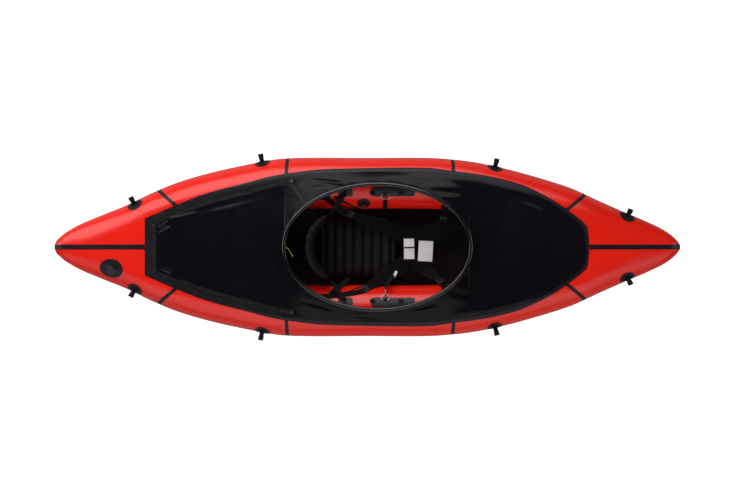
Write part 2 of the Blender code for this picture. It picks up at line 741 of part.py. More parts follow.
def make_main_valve():
    """Patch, body, one-way plunger and the screw cap over them."""
    make_skin_patch("main_valve_patch", MAIN_VALVE_X, -1, MAIN_VALVE_ANGLE,
                    MAIN_PATCH_LENGTH, MAIN_PATCH_WIDTH)
    frame = skin_frame(MAIN_VALVE_X, -1, MAIN_VALVE_ANGLE, PATCH_LIFT + PATCH_THICKNESS + GAP)
    joint = add_joint("main_valve_joint", frame.translation)
    body = VALVE_BODY_DIAMETER / 2
    bore = VALVE_BORE_DIAMETER / 2
    flange = VALVE_FLANGE_DIAMETER / 2
    body_profile = (
        (bore, VALVE_BODY_HEIGHT), (body, VALVE_BODY_HEIGHT), (body, VALVE_FLANGE_THICKNESS),
        (flange, VALVE_FLANGE_THICKNESS), (flange, 0.0), (0.0, 0.0), (0.0, VALVE_FLOOR_THICKNESS),
        (bore, VALVE_FLOOR_THICKNESS),
    )
    closed_profile = body_profile[6:] + body_profile[:6]
    make_turned("main_valve_body", closed_profile, frame, BLACK, 0.35)
    plunger_bottom = VALVE_FLOOR_THICKNESS + GAP + PLUNGER_TRAVEL
    plunger_frame = frame @ Matrix.Translation((0.0, 0.0, plunger_bottom))
    rim = bore - GAP
    plunger = ((0.0, PLUNGER_HEIGHT), (rim, PLUNGER_HEIGHT), (rim, 0.0), (0.0, 0.0))
    plunger_joint = add_joint("plunger_joint", plunger_frame.translation)
    make_turned("main_valve_plunger", plunger, plunger_frame, DARK_GREY, 0.5, parent=plunger_joint)
    inner = body + VALVE_CLEARANCE
    outer = inner + VALVE_CAP_WALL
    ceiling = VALVE_BODY_HEIGHT + GAP
    bottom = VALVE_FLANGE_THICKNESS + GAP
    cap = ((0.0, ceiling + VALVE_CAP_WALL), (outer, ceiling + VALVE_CAP_WALL), (outer, bottom),
           (inner, bottom), (inner, ceiling), (0.0, ceiling))
    make_turned("main_valve_cap", cap, frame, BLACK, 0.35, parent=joint)


def make_mouth_valve():
    """Top-up valve on the inner side of the port tube: patch, stem and twist-lock nozzle."""
    make_skin_patch("mouth_valve_patch", MOUTH_VALVE_X, 1, MOUTH_VALVE_ANGLE,
                    MOUTH_PATCH_DIAMETER, MOUTH_PATCH_DIAMETER)
    frame = skin_frame(MOUTH_VALVE_X, 1, MOUTH_VALVE_ANGLE, PATCH_LIFT + PATCH_THICKNESS + GAP)
    stem = MOUTH_STEM_DIAMETER / 2
    flange = MOUTH_FLANGE_DIAMETER / 2
    stem_profile = ((0.0, MOUTH_STEM_HEIGHT), (stem, MOUTH_STEM_HEIGHT), (stem, VALVE_FLOOR_THICKNESS),
                    (flange, VALVE_FLOOR_THICKNESS), (flange, 0.0), (0.0, 0.0))
    make_turned("mouth_valve_stem", stem_profile, frame, BLACK, 0.35)
    joint = add_joint("mouth_valve_joint", frame.translation)
    top = MOUTH_STEM_HEIGHT + GAP
    inner = stem + VALVE_CLEARANCE
    outer = NOZZLE_DIAMETER / 2
    tip = NOZZLE_HEIGHT - NOZZLE_COVER
    nozzle = ((0.0, top + tip), (outer - VALVE_CAP_WALL, top + tip), (outer, top),
              (outer, top - NOZZLE_COVER), (inner, top - NOZZLE_COVER), (inner, top), (0.0, top))
    make_turned("mouth_valve_nozzle", nozzle, frame, BLACK, 0.35, parent=joint)


def zip_line_x():
    """Where the two zip tapes meet along the transom."""
    return DECK_STERN_X + STRIP_WIDTH + 1.5 * PANEL_GAP + ZIP_TAPE_WIDTH


def make_zip_slider():
    """The slider that runs along the transom, with its pin and pull."""
    x = zip_line_x()
    y = deck_half_width(x) - STRIP_WIDTH - ZIP_TAPE_WIDTH - ZIP_SLIDER_LENGTH
    z = deck_height(x + ZIP_SLIDER_WIDTH / 2, y) + DECK_THICKNESS + 2 * GAP
    joint = add_joint("zip_slider_joint", (x, y, z))
    mesh = box_mesh("zip_slider", (ZIP_SLIDER_WIDTH, ZIP_SLIDER_LENGTH, ZIP_SLIDER_HEIGHT))
    slider = add_object("zip_slider", mesh, DARK_GREY, 0.35, 0.6)
    round_edges(slider, SKIN)
    place_part(slider, Matrix.Translation((x, y, z + ZIP_SLIDER_HEIGHT / 2)), joint)
    pull_x = x + ZIP_SLIDER_WIDTH / 2 + 2 * GAP
    pull_z = z + ZIP_SLIDER_HEIGHT - ZIP_PULL_THICKNESS / 2
    pull_joint = add_joint("zip_pull_joint", (pull_x + ZIP_PULL_THICKNESS / 2, y, pull_z))
    mesh = box_mesh("zip_pull", (ZIP_PULL_LENGTH, ZIP_PULL_WIDTH, ZIP_PULL_THICKNESS))
    pull = add_object("zip_pull", mesh, BLACK, 0.6)
    round_edges(pull, ZIP_PULL_THICKNESS / 4)
    place_part(pull, Matrix.Translation((pull_x + ZIP_PULL_LENGTH / 2, y, pull_z)), pull_joint)


def box_mesh(name, size):
    """A box about the origin."""
    work = bmesh.new()
    bmesh.ops.create_cube(work, size=1.0)
    bmesh.ops.scale(work, verts=work.verts, vec=size)
    return mesh_from(name, work)


# Sections of the soft forms, as shares of half width and height, anticlockwise from below
SEAT_SECTION_SHARES = (
    (0.0, 0.0), (0.5, 0.0), (0.90, 0.0), (1.0, 0.22), (1.0, 0.55), (0.93, 0.83), (0.74, 0.95),
    (0.40, 1.0), (0.0, 1.0), (-0.40, 1.0), (-0.74, 0.95), (-0.93, 0.83), (-1.0, 0.55),
    (-1.0, 0.22), (-0.90, 0.0), (-0.5, 0.0),
)
# Height along one channel, and how far its seam draws the sides in
SEAT_CHANNEL_SHARES = ((0.0, 0.62), (0.2, 0.90), (0.5, 1.0), (0.8, 0.90))
SEAT_PINCH_SHARE = 0.03
# Place along the seat and its half width there
SEAT_OUTLINE_SHARES = ((0.0, 0.80), (0.10, 1.0), (0.86, 1.0), (1.0, 0.78))
BACKREST_SECTION_SHARES = (
    (0.0, -1.0), (0.6, -0.94), (0.95, -0.7), (1.0, -0.2), (1.0, 0.3), (0.9, 0.75), (0.5, 0.96),
    (0.0, 1.0), (-0.5, 0.96), (-0.9, 0.75), (-1.0, 0.3), (-1.0, -0.2), (-0.95, -0.7), (-0.6, -0.94),
)
# Share of the sweep, half height and half thickness there
BACKREST_TAPER_SHARES = ((0.0, 1.0, 1.0), (0.5, 0.97, 1.0), (0.8, 0.88, 0.92), (0.95, 0.76, 0.75),
                         (1.0, 0.68, 0.45))
ROUND_SECTION_STEPS = 12
FOOT_BRACE_SHARES = ((-1.0, 0.55), (-0.93, 0.82), (-0.75, 0.97), (-0.35, 1.0), (0.35, 1.0),
                     (0.75, 0.97), (0.93, 0.82), (1.0, 0.55))


def closed_loft(name, rings, colour, roughness, parent=None):
    """A closed form through rings of points, with flat ends."""
    work, made = grid_surface(rings, closed_rows=True)
    work.faces.new(list(reversed(made[0])))
    work.faces.new(made[-1])
    mesh = mesh_from(name, work)
    smooth_shade(mesh, 60.0)
    return add_object(name, mesh, colour, roughness, parent=parent)


def make_seat():
    """The inflated seat: cross channels, drawn-in sides and a flat underside on the floor."""
    bottom = FLOOR_THICKNESS + GAP
    rings = []
    for channel in range(SEAT_CHANNELS):
        for place, height in SEAT_CHANNEL_SHARES:
            rings.append(seat_ring((channel + place) / SEAT_CHANNELS, height, bottom))
    rings.append(seat_ring(1.0, SEAT_CHANNEL_SHARES[0][1], bottom))
    return closed_loft("seat_cushion", rings, BLACK, 0.6)


def seat_ring(place, height, bottom):
    """One section across the seat."""
    pinch = 1 - SEAT_PINCH_SHARE * (1 - height)
    half = SEAT_WIDTH / 2 * straight_value(SEAT_OUTLINE_SHARES, place) * pinch
    x = SEAT_REAR_X + SEAT_LENGTH * place
    return [Vector((x, half * across, bottom + SEAT_HEIGHT * height * up))
            for across, up in SEAT_SECTION_SHARES]


def straight_value(table, place):
    """A value read between the pairs of a table."""
    for low, high in zip(table, table[1:]):
        if place <= high[0]:
            return low[1] + (high[1] - low[1]) * (place - low[0]) / (high[0] - low[0])
    return table[-1][1]


def backrest_hinge():
    """The middle of the backrest's lower edge."""
    return Vector((BACKREST_REAR_X + BACKREST_THICKNESS / 2, 0.0,
                   BACKREST_MIDDLE_Z - BACKREST_HEIGHT / 2 - GAP))


def make_backrest(joint):
    """The curved backrest, thinner and lower towards its ends."""
    sides = BACKREST_TAPER_SHARES
    both = [(-place, tall, thick) for place, tall, thick in reversed(sides[1:])] + list(sides)
    centre_x = BACKREST_REAR_X + BACKREST_CURVE_RADIUS
    middle = BACKREST_CURVE_RADIUS - BACKREST_THICKNESS / 2
    rings = []
    for place, tall, thick in both:
        turn = math.pi - math.radians(BACKREST_SWEEP) * place
        out = Vector((math.cos(turn), math.sin(turn), 0.0))
        ring = []
        for across, up in BACKREST_SECTION_SHARES:
            radius = middle + BACKREST_THICKNESS / 2 * thick * across
            z = BACKREST_MIDDLE_Z + BACKREST_HEIGHT / 2 * tall * up
            ring.append(Vector((centre_x, 0.0, z)) + out * radius)
        rings.append(ring)
    return closed_loft("backrest", rings, BLACK, 0.6, joint)


def make_foot_brace():
    """A round bolster across the floor in front of the cockpit."""
    radius = FOOT_BRACE_DIAMETER / 2
    _, _, height, middle = tube_section(FOOT_BRACE_X + radius / 2)
    bottom = middle - height
    rings = []
    for place, swell in FOOT_BRACE_SHARES:
        ring = []
        for i in range(ROUND_SECTION_STEPS):
            turn = math.tau * (i + 0.5) / ROUND_SECTION_STEPS
            up = radius + radius * swell * math.cos(turn) / math.cos(math.pi / ROUND_SECTION_STEPS)
            ring.append(Vector((FOOT_BRACE_X + radius * swell * math.sin(turn),
                                FOOT_BRACE_LENGTH / 2 * place, bottom + up)))
        rings.append(ring)
    return closed_loft("foot_brace", rings, BLACK, 0.6)


def smooth_path(points, steps):
    """Points along a smooth curve through the given points, with their extra values."""
    path = []
    last = len(points) - 1
    for i in range(last):
        before, start = points[max(i - 1, 0)], points[i]
        end, after = points[i + 1], points[min(i + 2, last)]
        for k in range(steps):
            t = k / steps
            path.append([catmull(a, b, c, d, t) for a, b, c, d in zip(before, start, end, after)])
    path.append(list(points[-1]))
    return path


def catmull(before, start, end, after, t):
    """One value on a smooth curve between start and end."""
    square = 2 * before - 5 * start + 4 * end - after
    cube = 3 * start - before - 3 * end + after
    return start + ((end - before) * t + square * t ** 2 + cube * t ** 3) / 2


# Strap routes: place along the coaming's half length from its middle, place across the hull's
# half beam, height in tube diameters, half width in strap widths, and how far the face leans in
PORT_THIGH_SHARES = (
    (-0.350, 0.407, 0.745, 0.5, 0.42), (-0.235, 0.350, 0.655, 0.7, 0.40),
    (-0.100, 0.292, 0.560, 1.3, 0.25), (0.100, 0.228, 0.468, 1.4, 0.10),
    (0.362, 0.115, 0.420, 1.4, 0.0), (0.530, 0.160, 0.450, 1.4, 0.0),
    (0.660, 0.235, 0.520, 0.9, 0.30), (0.720, 0.350, 0.640, 0.5, 0.80),
)
STARBOARD_THIGH_SHARES = (
    (-0.200, 0.500, 0.860, 0.5, 0.45), (-0.075, 0.430, 0.730, 0.8, 0.40),
    (0.055, 0.350, 0.590, 1.3, 0.25), (0.205, 0.255, 0.475, 1.4, 0.10),
    (0.340, 0.155, 0.420, 1.4, 0.0), (0.500, 0.235, 0.455, 1.4, 0.0),
    (0.630, 0.330, 0.540, 0.9, 0.30), (0.690, 0.400, 0.640, 0.5, 0.80),
)
THIGH_REAR_X = -0.207
THIGH_REAR_ANGLE = 125.0
THIGH_FRONT_X = 0.366
THIGH_FRONT_ANGLE = 154.0
BACKREST_STRAP_X = -0.106
BACKREST_STRAP_ANGLE = 115.0
# Skin angles down which the port ring's strap hangs
RING_STRAP_ANGLES = (141.0, 152.0, 165.0, 178.0)
# Places of the pull cord, from its exit in the collar to its free end, and its end's bead
PULL_CORD_ROUTE = (
    (-0.3886, 0.000, 0.2850), (-0.3830, -0.001, 0.2845), (-0.3760, -0.005, 0.2810),
    (-0.3690, -0.012, 0.2750), (-0.3625, -0.022, 0.2670), (-0.3570, -0.032, 0.2580),
    (-0.3535, -0.041, 0.2490),
)


def strap_entry(place, half_width, up):
    """One stop of a strap's route."""
    return (*place, half_width, *up.normalized())


def make_strap(name, route, thickness, colour=BLACK, parent=None, steps=4):
    """A flat strap along a smooth route of places, half widths and facing directions."""
    path = smooth_path(route, steps)
    places = [Vector(stop[:3]) for stop in path]
    rows = []
    for i, stop in enumerate(path):
        ahead = places[min(i + 1, len(path) - 1)] - places[max(i - 1, 0)]
        side = Vector(stop[4:7]).cross(ahead).normalized() * stop[3]
        rows.append([places[i] - side, places[i], places[i] + side])
    work, _ = grid_surface(rows)
    facing = sum((Vector(stop[4:7]) for stop in path), Vector())
    bmesh.ops.recalc_face_normals(work, faces=work.faces)
    if sum((face.normal for face in work.faces), Vector()).dot(facing) < 0:
        bmesh.ops.reverse_faces(work, faces=work.faces)
    mesh = bpy.data.meshes.new(name)
    work.to_mesh(mesh)
    work.free()
    smooth_shade(mesh)
    part = add_object(name, mesh, colour, 0.7, parent=parent)
    thicken(part, thickness)
    return part


def skin_up(x, side, angle):
    """The direction off the skin at a place."""
    return (skin_point(x, side, angle, TUBE_RADIUS) - skin_point(x, side, angle)).normalized()


def thigh_route(side, shares):
    """The route of a thigh strap, from the tube behind the seat to the tube in front of it."""
    lift = PATCH_LIFT + GAP
    rear = skin_point(THIGH_REAR_X, side, THIGH_REAR_ANGLE, lift)
    front = skin_point(THIGH_FRONT_X, side, THIGH_FRONT_ANGLE, lift)
    route = [strap_entry(rear, STRAP_WIDTH / 2, skin_up(THIGH_REAR_X, side, THIGH_REAR_ANGLE))]
    for along, across, height, wide, lean in shares:
        place = Vector((COAMING_CENTRE_X + COAMING_LENGTH / 2 * along, side * HALF_BEAM * across,
                        TUBE_DIAMETER * height))
        route.append(strap_entry(place, STRAP_WIDTH * wide, Vector((0.0, -side * lean, 1.0))))
    route.append(strap_entry(front, STRAP_WIDTH / 2, skin_up(THIGH_FRONT_X, side, THIGH_FRONT_ANGLE)))
    return route


def make_thigh_straps():
    """The two padded thigh straps and the strap that joins them."""
    joints = {}
    for side, word, shares in ((1, "port", PORT_THIGH_SHARES), (-1, "starboard", STARBOARD_THIGH_SHARES)):
        rear = skin_point(THIGH_REAR_X, side, THIGH_REAR_ANGLE, PATCH_LIFT)
        joints[side] = add_joint("thigh_joint_" + word, rear)
        make_strap("thigh_strap_" + word, thigh_route(side, shares), THIGH_PAD_THICKNESS,
                   parent=joints[side], steps=3)
    port = thigh_route(1, PORT_THIGH_SHARES)[5]
    starboard = thigh_route(-1, STARBOARD_THIGH_SHARES)[5]
    up = Vector((0.0, 0.0, 1.0))
    lift = THIGH_PAD_THICKNESS + 4 * GAP
    route = []
    for share in (0.10, 0.35, 0.65, 0.90):
        place = Vector(port[:3]).lerp(Vector(starboard[:3]), share) + up * lift
        route.append(strap_entry(place, STRAP_WIDTH / 2, up))
    make_strap("thigh_centre_strap", route, WEBBING_THICKNESS, parent=joints[1], steps=2)


def make_backrest_straps():
    """The straps from the backrest's ends up to the tubes."""
    turn = math.pi - math.radians(BACKREST_SWEEP)
    centre_x = BACKREST_REAR_X + BACKREST_CURVE_RADIUS
    middle = BACKREST_CURVE_RADIUS - BACKREST_THICKNESS / 2
    height = BACKREST_MIDDLE_Z + BACKREST_HEIGHT / 6
    for side, word in ((1, "port"), (-1, "starboard")):
        end = Vector((centre_x + middle * math.cos(turn), side * middle * math.sin(turn), height))
        tangent = Vector((math.sin(turn), -side * math.cos(turn), 0.0))
        on_tube = skin_point(BACKREST_STRAP_X, side, BACKREST_STRAP_ANGLE, PATCH_LIFT + GAP)
        up = skin_up(BACKREST_STRAP_X, side, BACKREST_STRAP_ANGLE)
        start = end + tangent * 3 * GAP
        facing = Vector((-math.cos(turn), -side * math.sin(turn), 0.0))
        lean = Vector((0.0, -side, 1.0))
        half = start.lerp(on_tube, 0.5) + Vector((0.0, 0.0, WEBBING_THICKNESS))
        route = [strap_entry(start, STRAP_WIDTH / 2, facing), strap_entry(half, STRAP_WIDTH / 2, lean),
                 strap_entry(on_tube, STRAP_WIDTH / 2, up)]
        make_strap("backrest_strap_" + word, route, WEBBING_THICKNESS, steps=3)


def make_backrest_tab():
    """The tab from the seat's rear end up to the backrest's lower edge."""
    hinge = backrest_hinge()
    rear = SEAT_REAR_X - 1.5 * WEBBING_THICKNESS
    low = Vector((rear, 0.0, SEAT_HEIGHT / 4))
    high = Vector((rear, 0.0, SEAT_HEIGHT / 2))
    top = Vector((hinge.x, 0.0, hinge.z - WEBBING_THICKNESS / 2))
    forward = Vector((1.0, 0.0, 0.0))
    leaning = Vector((1.0, 0.0, 0.5))
    half = BACKREST_TAB_WIDTH / 2
    route = [strap_entry(low, half, forward), strap_entry(high, half, forward),
             strap_entry(top, half, leaning)]
    make_strap("backrest_tab", route, WEBBING_THICKNESS, steps=1)


def ring_frame(side):
    """Frame of a ring on its hinge: local X along the hull, local Y down the tube, Z off it."""
    lift = PATCH_LIFT + PATCH_THICKNESS + GAP + RING_WIRE / 2
    frame = skin_frame(RING_X, side, RING_ANGLE, lift)
    down = Matrix.Rotation(math.pi if side > 0 else 0.0, 4, "Z")
    return frame @ down @ Matrix.Rotation(math.radians(RING_STAND), 4, "X")


def wire_curve(name, points, diameter, cyclic):
    """A round wire through points, in a curve that the caller places."""
    curve = bpy.data.curves.new(name, "CURVE")
    curve.dimensions = "3D"
    curve.bevel_depth = diameter / 2
    curve.bevel_resolution = 2
    curve.use_fill_caps = True
    spline = curve.splines.new("POLY")
    spline.points.add(len(points) - 1)
    spline.use_cyclic_u = cyclic
    for place, point in zip(spline.points, points):
        place.co = (*point, 1.0)
    return curve


def make_rings():
    """Anchor patches high on the inner sides of the tubes, with a metal ring on each."""
    for side, word in ((1, "port"), (-1, "starboard")):
        rows = [[skin_point(x, side, angle, PATCH_LIFT)
                 for angle in spread(RING_PATCH_HIGH_ANGLE, RING_PATCH_LOW_ANGLE, 3)]
                for x in spread(RING_PATCH_START_X, RING_PATCH_END_X, 6)]
        work, _ = grid_surface(rows)
        inside = skin_point(RING_X, side, RING_ANGLE, -TUBE_RADIUS / 2)
        surface_object("ring_patch_" + word, work, inside, PATCH_THICKNESS, DARK_GREY, 0.5)
        frame = ring_frame(side)
        joint = add_joint("ring_joint_" + word, frame.translation)
        half = RING_LENGTH / 2 - RING_WIRE / 2
        depth = RING_WIDTH - RING_WIRE
        corner = RING_WIRE
        outline = [(-half, corner), (-half, depth - corner), (corner - half, depth),
                   (half - corner, depth), (half, depth - corner), (half, corner),
                   (half - corner, 0.0), (corner - half, 0.0)]
        curve = wire_curve("ring_" + word, [(x, y, 0.0) for x, y in outline], RING_WIRE, True)
        ring = add_object("ring_" + word, curve, STEEL, 0.25, 1.0)
        place_part(ring, frame, joint)


def hook_frame():
    """Frame of the snap hook: local Y runs down from the ring's lower bar, local Z is its width."""
    seat = HOOK_WIDTH / 2 - HOOK_WIRE / 2 - RING_WIRE / 2 - GAP
    return ring_frame(-1) @ Matrix.Translation((0.0, RING_WIDTH - RING_WIRE + seat, 0.0))


def make_snap_hook():
    """The snap hook on the starboard ring, with its sprung gate."""
    frame = hook_frame()
    oval = oval_points(HOOK_LENGTH, HOOK_WIDTH, 6)
    opening = [(0.0, out, across) for out, across in oval]
    joint = add_joint("snap_hook_joint", ring_bar(-1))
    hook = add_object("snap_hook", wire_curve("snap_hook", opening, HOOK_WIRE, False), BLACK, 0.35)
    place_part(hook, frame, joint)
    start = Vector(opening[0])
    end = Vector(opening[-1])
    along = (end - start).normalized()
    rod = [start + along * 2 * GAP, end - along * 2 * GAP]
    gate_joint = add_joint("snap_gate_joint", frame @ (rod[1] - along * GATE_WIRE / 2))
    curve = wire_curve("snap_gate", rod, GATE_WIRE, False)
    gate = add_object("snap_gate", curve, STEEL, 0.3, 1.0)
    place_part(gate, frame, gate_joint)


def ring_bar(side):
    """Middle of a ring's lower bar."""
    return (ring_frame(side) @ Matrix.Translation((0.0, RING_WIDTH - RING_WIRE, 0.0))).translation


def make_ring_straps():
    """The webbing below each ring: down the port tube, and from the snap hook to the thigh pad."""
    bar = ring_bar(1) + Vector((0.0, -RING_WIRE / 2 - WEBBING_THICKNESS, -WEBBING_THICKNESS))
    lean = Vector((0.0, -1.0, 1.0))
    route = [strap_entry(bar, RING_STRAP_WIDTH / 2, lean)]
    for angle in RING_STRAP_ANGLES:
        place = skin_point(RING_X, 1, angle, PATCH_LIFT + GAP)
        route.append(strap_entry(place, RING_STRAP_WIDTH / 2, skin_up(RING_X, 1, angle)))
    make_strap("ring_strap_port", route, WEBBING_THICKNESS, steps=2)
    length = HOOK_LENGTH - HOOK_WIDTH / 2 + HOOK_WIRE / 2 + GAP
    start = (hook_frame() @ Matrix.Translation((0.0, length, 0.0))).translation
    pad = Vector(thigh_route(-1, STARBOARD_THIGH_SHARES)[4][:3])
    end = pad + Vector((0.0, 0.0, THIGH_PAD_THICKNESS + 2 * GAP))
    lean = Vector((0.0, 1.0, 1.0))
    half = HOOK_STRAP_WIDTH / 2
    route = [strap_entry(start, half, lean), strap_entry(start.lerp(end, 0.5), half, lean),
             strap_entry(end, half, Vector((0.0, 0.0, 1.0)))]
    make_strap("hook_webbing", route, WEBBING_THICKNESS, steps=3)


def make_pull_cord():
    """The short pull cord at the back of the coaming."""
    route = smooth_path(PULL_CORD_ROUTE, 2)
    curve = wire_curve("pull_cord", [tuple(point) for point in route], PULL_CORD_DIAMETER, False)
    return add_object("pull_cord", curve, YELLOW, 0.5)


def main():
    """Models the whole boat."""
    clear_scene()
    make_hull()
    make_floor()
    make_seam_strip()
    make_front_deck()
    make_coaming()
    flap_joint = add_joint("flap_joint", (FLAP_HINGE_X, 0.0, FLAP_HINGE_Z))
    make_rear_flap(flap_joint)
    make_zip_tape("rear_zip_tape", STRIP_WIDTH + PANEL_GAP)
    make_zip_slider()
    make_centre_tape("bow_centre_tape", 1)
    make_centre_tape("stern_centre_tape", -1)
    for side, word in ((1, "port"), (-1, "starboard")):
        for place_word, x, angle in TIE_DOWN_PLACES:
            make_tie_down(side, word, place_word, x, angle)
    make_main_valve()
    make_mouth_valve()
    make_seat()
    make_foot_brace()
    make_backrest(add_joint("backrest_joint", backrest_hinge()))
    make_backrest_tab()
    make_backrest_straps()
    make_thigh_straps()
    make_rings()
    make_snap_hook()
    make_ring_straps()
    make_pull_cord()


main()
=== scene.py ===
"""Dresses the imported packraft: skins, deck, zip, cockpit, straps, valves and a studio."""

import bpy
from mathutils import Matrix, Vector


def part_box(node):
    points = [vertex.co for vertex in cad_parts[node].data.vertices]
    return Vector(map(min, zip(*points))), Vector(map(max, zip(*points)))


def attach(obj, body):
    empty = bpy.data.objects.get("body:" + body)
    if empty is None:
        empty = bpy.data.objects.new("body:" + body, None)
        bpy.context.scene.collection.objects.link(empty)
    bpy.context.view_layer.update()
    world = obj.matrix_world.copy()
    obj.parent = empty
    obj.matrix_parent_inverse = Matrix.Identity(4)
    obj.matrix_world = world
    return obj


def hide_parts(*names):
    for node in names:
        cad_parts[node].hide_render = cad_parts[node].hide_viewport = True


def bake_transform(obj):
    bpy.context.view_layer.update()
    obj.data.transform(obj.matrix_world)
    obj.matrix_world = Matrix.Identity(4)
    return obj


bl_info = {
    "name": "Packraft dressing",
    "version": (1, 0, 0),
    "blender": (4, 5, 0),
    "location": "View3D > Sidebar > Packraft",
    "description": "Builds the visible pieces of a decked packraft around its packed frame",
    "category": "Object",
}

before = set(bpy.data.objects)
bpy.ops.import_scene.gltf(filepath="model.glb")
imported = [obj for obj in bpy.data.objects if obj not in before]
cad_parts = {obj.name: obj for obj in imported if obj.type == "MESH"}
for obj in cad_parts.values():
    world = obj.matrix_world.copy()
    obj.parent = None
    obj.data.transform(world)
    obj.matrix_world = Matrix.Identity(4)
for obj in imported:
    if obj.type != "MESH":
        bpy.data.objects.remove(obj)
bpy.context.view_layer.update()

import math
from functools import lru_cache

import bmesh
import bpy
from bpy.props import FloatProperty, FloatVectorProperty, PointerProperty
from mathutils import Matrix, Vector, noise

# Hull, as the frame has it
HALF_LENGTH = 1.47
HALF_BEAM = 0.4275
TUBE_RADIUS = 0.122
FLOOR_THICKNESS = 0.0012
TOUCH_GAP = 0.0003
TUBE_CENTRE_Z = TUBE_RADIUS + FLOOR_THICKNESS + TOUCH_GAP
TIP_RISE = 0.12
ROCKER_START_SHARE = 0.35
DECK_BOW_X = 1.031
DECK_STERN_X = -1.041
DECK_LENGTH = DECK_BOW_X - DECK_STERN_X
DECK_BOW_BULGE = 0.005
FRONT_SEAM_X = 0.4056
REAR_SEAM_X = -0.3816
STRIP_WIDTH = 0.017
ZIP_TAPE_WIDTH = 0.024
DECK_LIFT = 0.0024
DECK_SPREAD_LIFT = 0.005
LIFT_RAMP = 0.03
DECK_END_DROP = 0.002
PANEL_GAP = 0.0008
WALL = 0.001
WEBBING_THICKNESS = 0.0018

# Relief of the dressed skin, and spacing of the deck's edge
SEAM_REACH = 0.12
SEAM_DRAW_WIDTH = 0.016
PUCKER_OFFSET = 0.018
PUCKER_WIDTH = 0.022
SOFT_UNEVENNESS = 0.0008
CREST_ROUNDING = 0.0015
EDGE_STEP = 0.0115

BOW_WIDTH_SHARES = (
    (0.0, 1.0), (0.1975, 1.0), (0.276, 0.983), (0.354, 0.949), (0.4325, 0.892), (0.510, 0.824),
    (0.588, 0.744), (0.6646, 0.652), (0.741, 0.527), (0.816, 0.408), (0.890, 0.295),
    (0.939, 0.211), (0.966, 0.150), (0.984, 0.094), (0.9937, 0.055), (1.0, 0.012),
)
STERN_WIDTH_SHARES = (
    (0.0, 1.0), (0.2335, 1.0), (0.312, 0.977), (0.390, 0.926), (0.468, 0.869), (0.546, 0.800),
    (0.623, 0.715), (0.700, 0.601), (0.775, 0.471), (0.850, 0.3625), (0.923, 0.250),
    (0.966, 0.161), (0.984, 0.105), (0.9937, 0.0715), (1.0, 0.012),
)
BOW_HEIGHT_SHARES = (
    (0.0, 1.0), (0.40, 1.0), (0.55, 0.985), (0.716, 0.94), (0.816, 0.78), (0.89, 0.64),
    (0.939, 0.53), (0.966, 0.45), (0.984, 0.32), (0.9937, 0.20), (1.0, 0.05),
)
STERN_HEIGHT_SHARES = (
    (0.0, 1.0), (0.40, 1.0), (0.55, 0.985), (0.723, 0.94), (0.85, 0.74), (0.923, 0.56),
    (0.966, 0.46), (0.984, 0.35), (0.9937, 0.24), (1.0, 0.05),
)
BOW_FLAT_SHARES = ((0.7014, 0.548), (0.816, 0.30), (0.89, 0.08), (0.939, 0.0), (1.0, 0.0))
STERN_FLAT_SHARES = ((0.708, 0.541), (0.816, 0.31), (0.89, 0.08), (0.939, 0.0), (1.0, 0.0))
BOW_DECK_SHARES = (
    (0.0, 0.872), (0.20, 0.872), (0.271, 0.852), (0.348, 0.845), (0.4245, 0.840), (0.500, 0.812),
    (0.5755, 0.725), (0.6115, 0.654), (0.650, 0.557), (0.688, 0.424), (0.7014, 0.322),
)
STERN_DECK_SHARES = (
    (0.0, 0.872), (0.153, 0.852), (0.230, 0.823), (0.307, 0.796), (0.383, 0.763), (0.459, 0.734),
    (0.534, 0.697), (0.6095, 0.630), (0.647, 0.595), (0.685, 0.557), (0.708, 0.529),
)

# Coaming and the rear flap's hinge
COAMING_CENTRE_X = 0.046
HOOP_LENGTH = 0.87
HOOP_WIDTH = 0.584
HOOP_RADIUS = 0.010
HOOP_Z = 0.315
DECK_RIDGE_Z = 0.286
FLAP_HINGE_X = -0.418
SIDE_SEAM_X = -0.357

# The slanted seams of the cones: where each meets the deck, and how it runs out to the side
CONE_SEAMS = ((-1, -0.905, 0.2008, -1.22), (1, 0.917, 0.1607, 1.26))
TIE_DOWN_PLACES = (
    ("stern", -1.095, 37.0), ("rear", -0.500, 24.0), ("front", 0.606, 24.0), ("bow", 1.222, 34.0),
)
PORT, STARBOARD = 1, -1
SIDES = ((PORT, "port"), (STARBOARD, "starboard"))


# Shape of the boat

def table_value(table, place):
    """A smooth curve through a table of pairs, read at one place."""
    if place <= table[0][0]:
        return table[0][1]
    if place >= table[-1][0]:
        return table[-1][1]
    last = len(table) - 1
    i = next(k for k in range(last) if place <= table[k + 1][0])

    def slope(k):
        """Slope of the table beside its row k."""
        low = max(k - 1, 0)
        high = min(k + 1, last)
        return (table[high][1] - table[low][1]) / (table[high][0] - table[low][0])

    span = table[i + 1][0] - table[i][0]
    t = (place - table[i][0]) / span
    start, end = table[i][1], table[i + 1][1]
    bend = (1 - t) * slope(i) - t * slope(i + 1) + (2 * t - 1) * (end - start) / span
    return start + (end - start) * t + t * (1 - t) * span * bend


@lru_cache(maxsize=None)
def hull_half_width(x):
    """Half width of the hull at x."""
    table = BOW_WIDTH_SHARES if x > 0 else STERN_WIDTH_SHARES
    return HALF_BEAM * table_value(table, abs(x) / HALF_LENGTH)


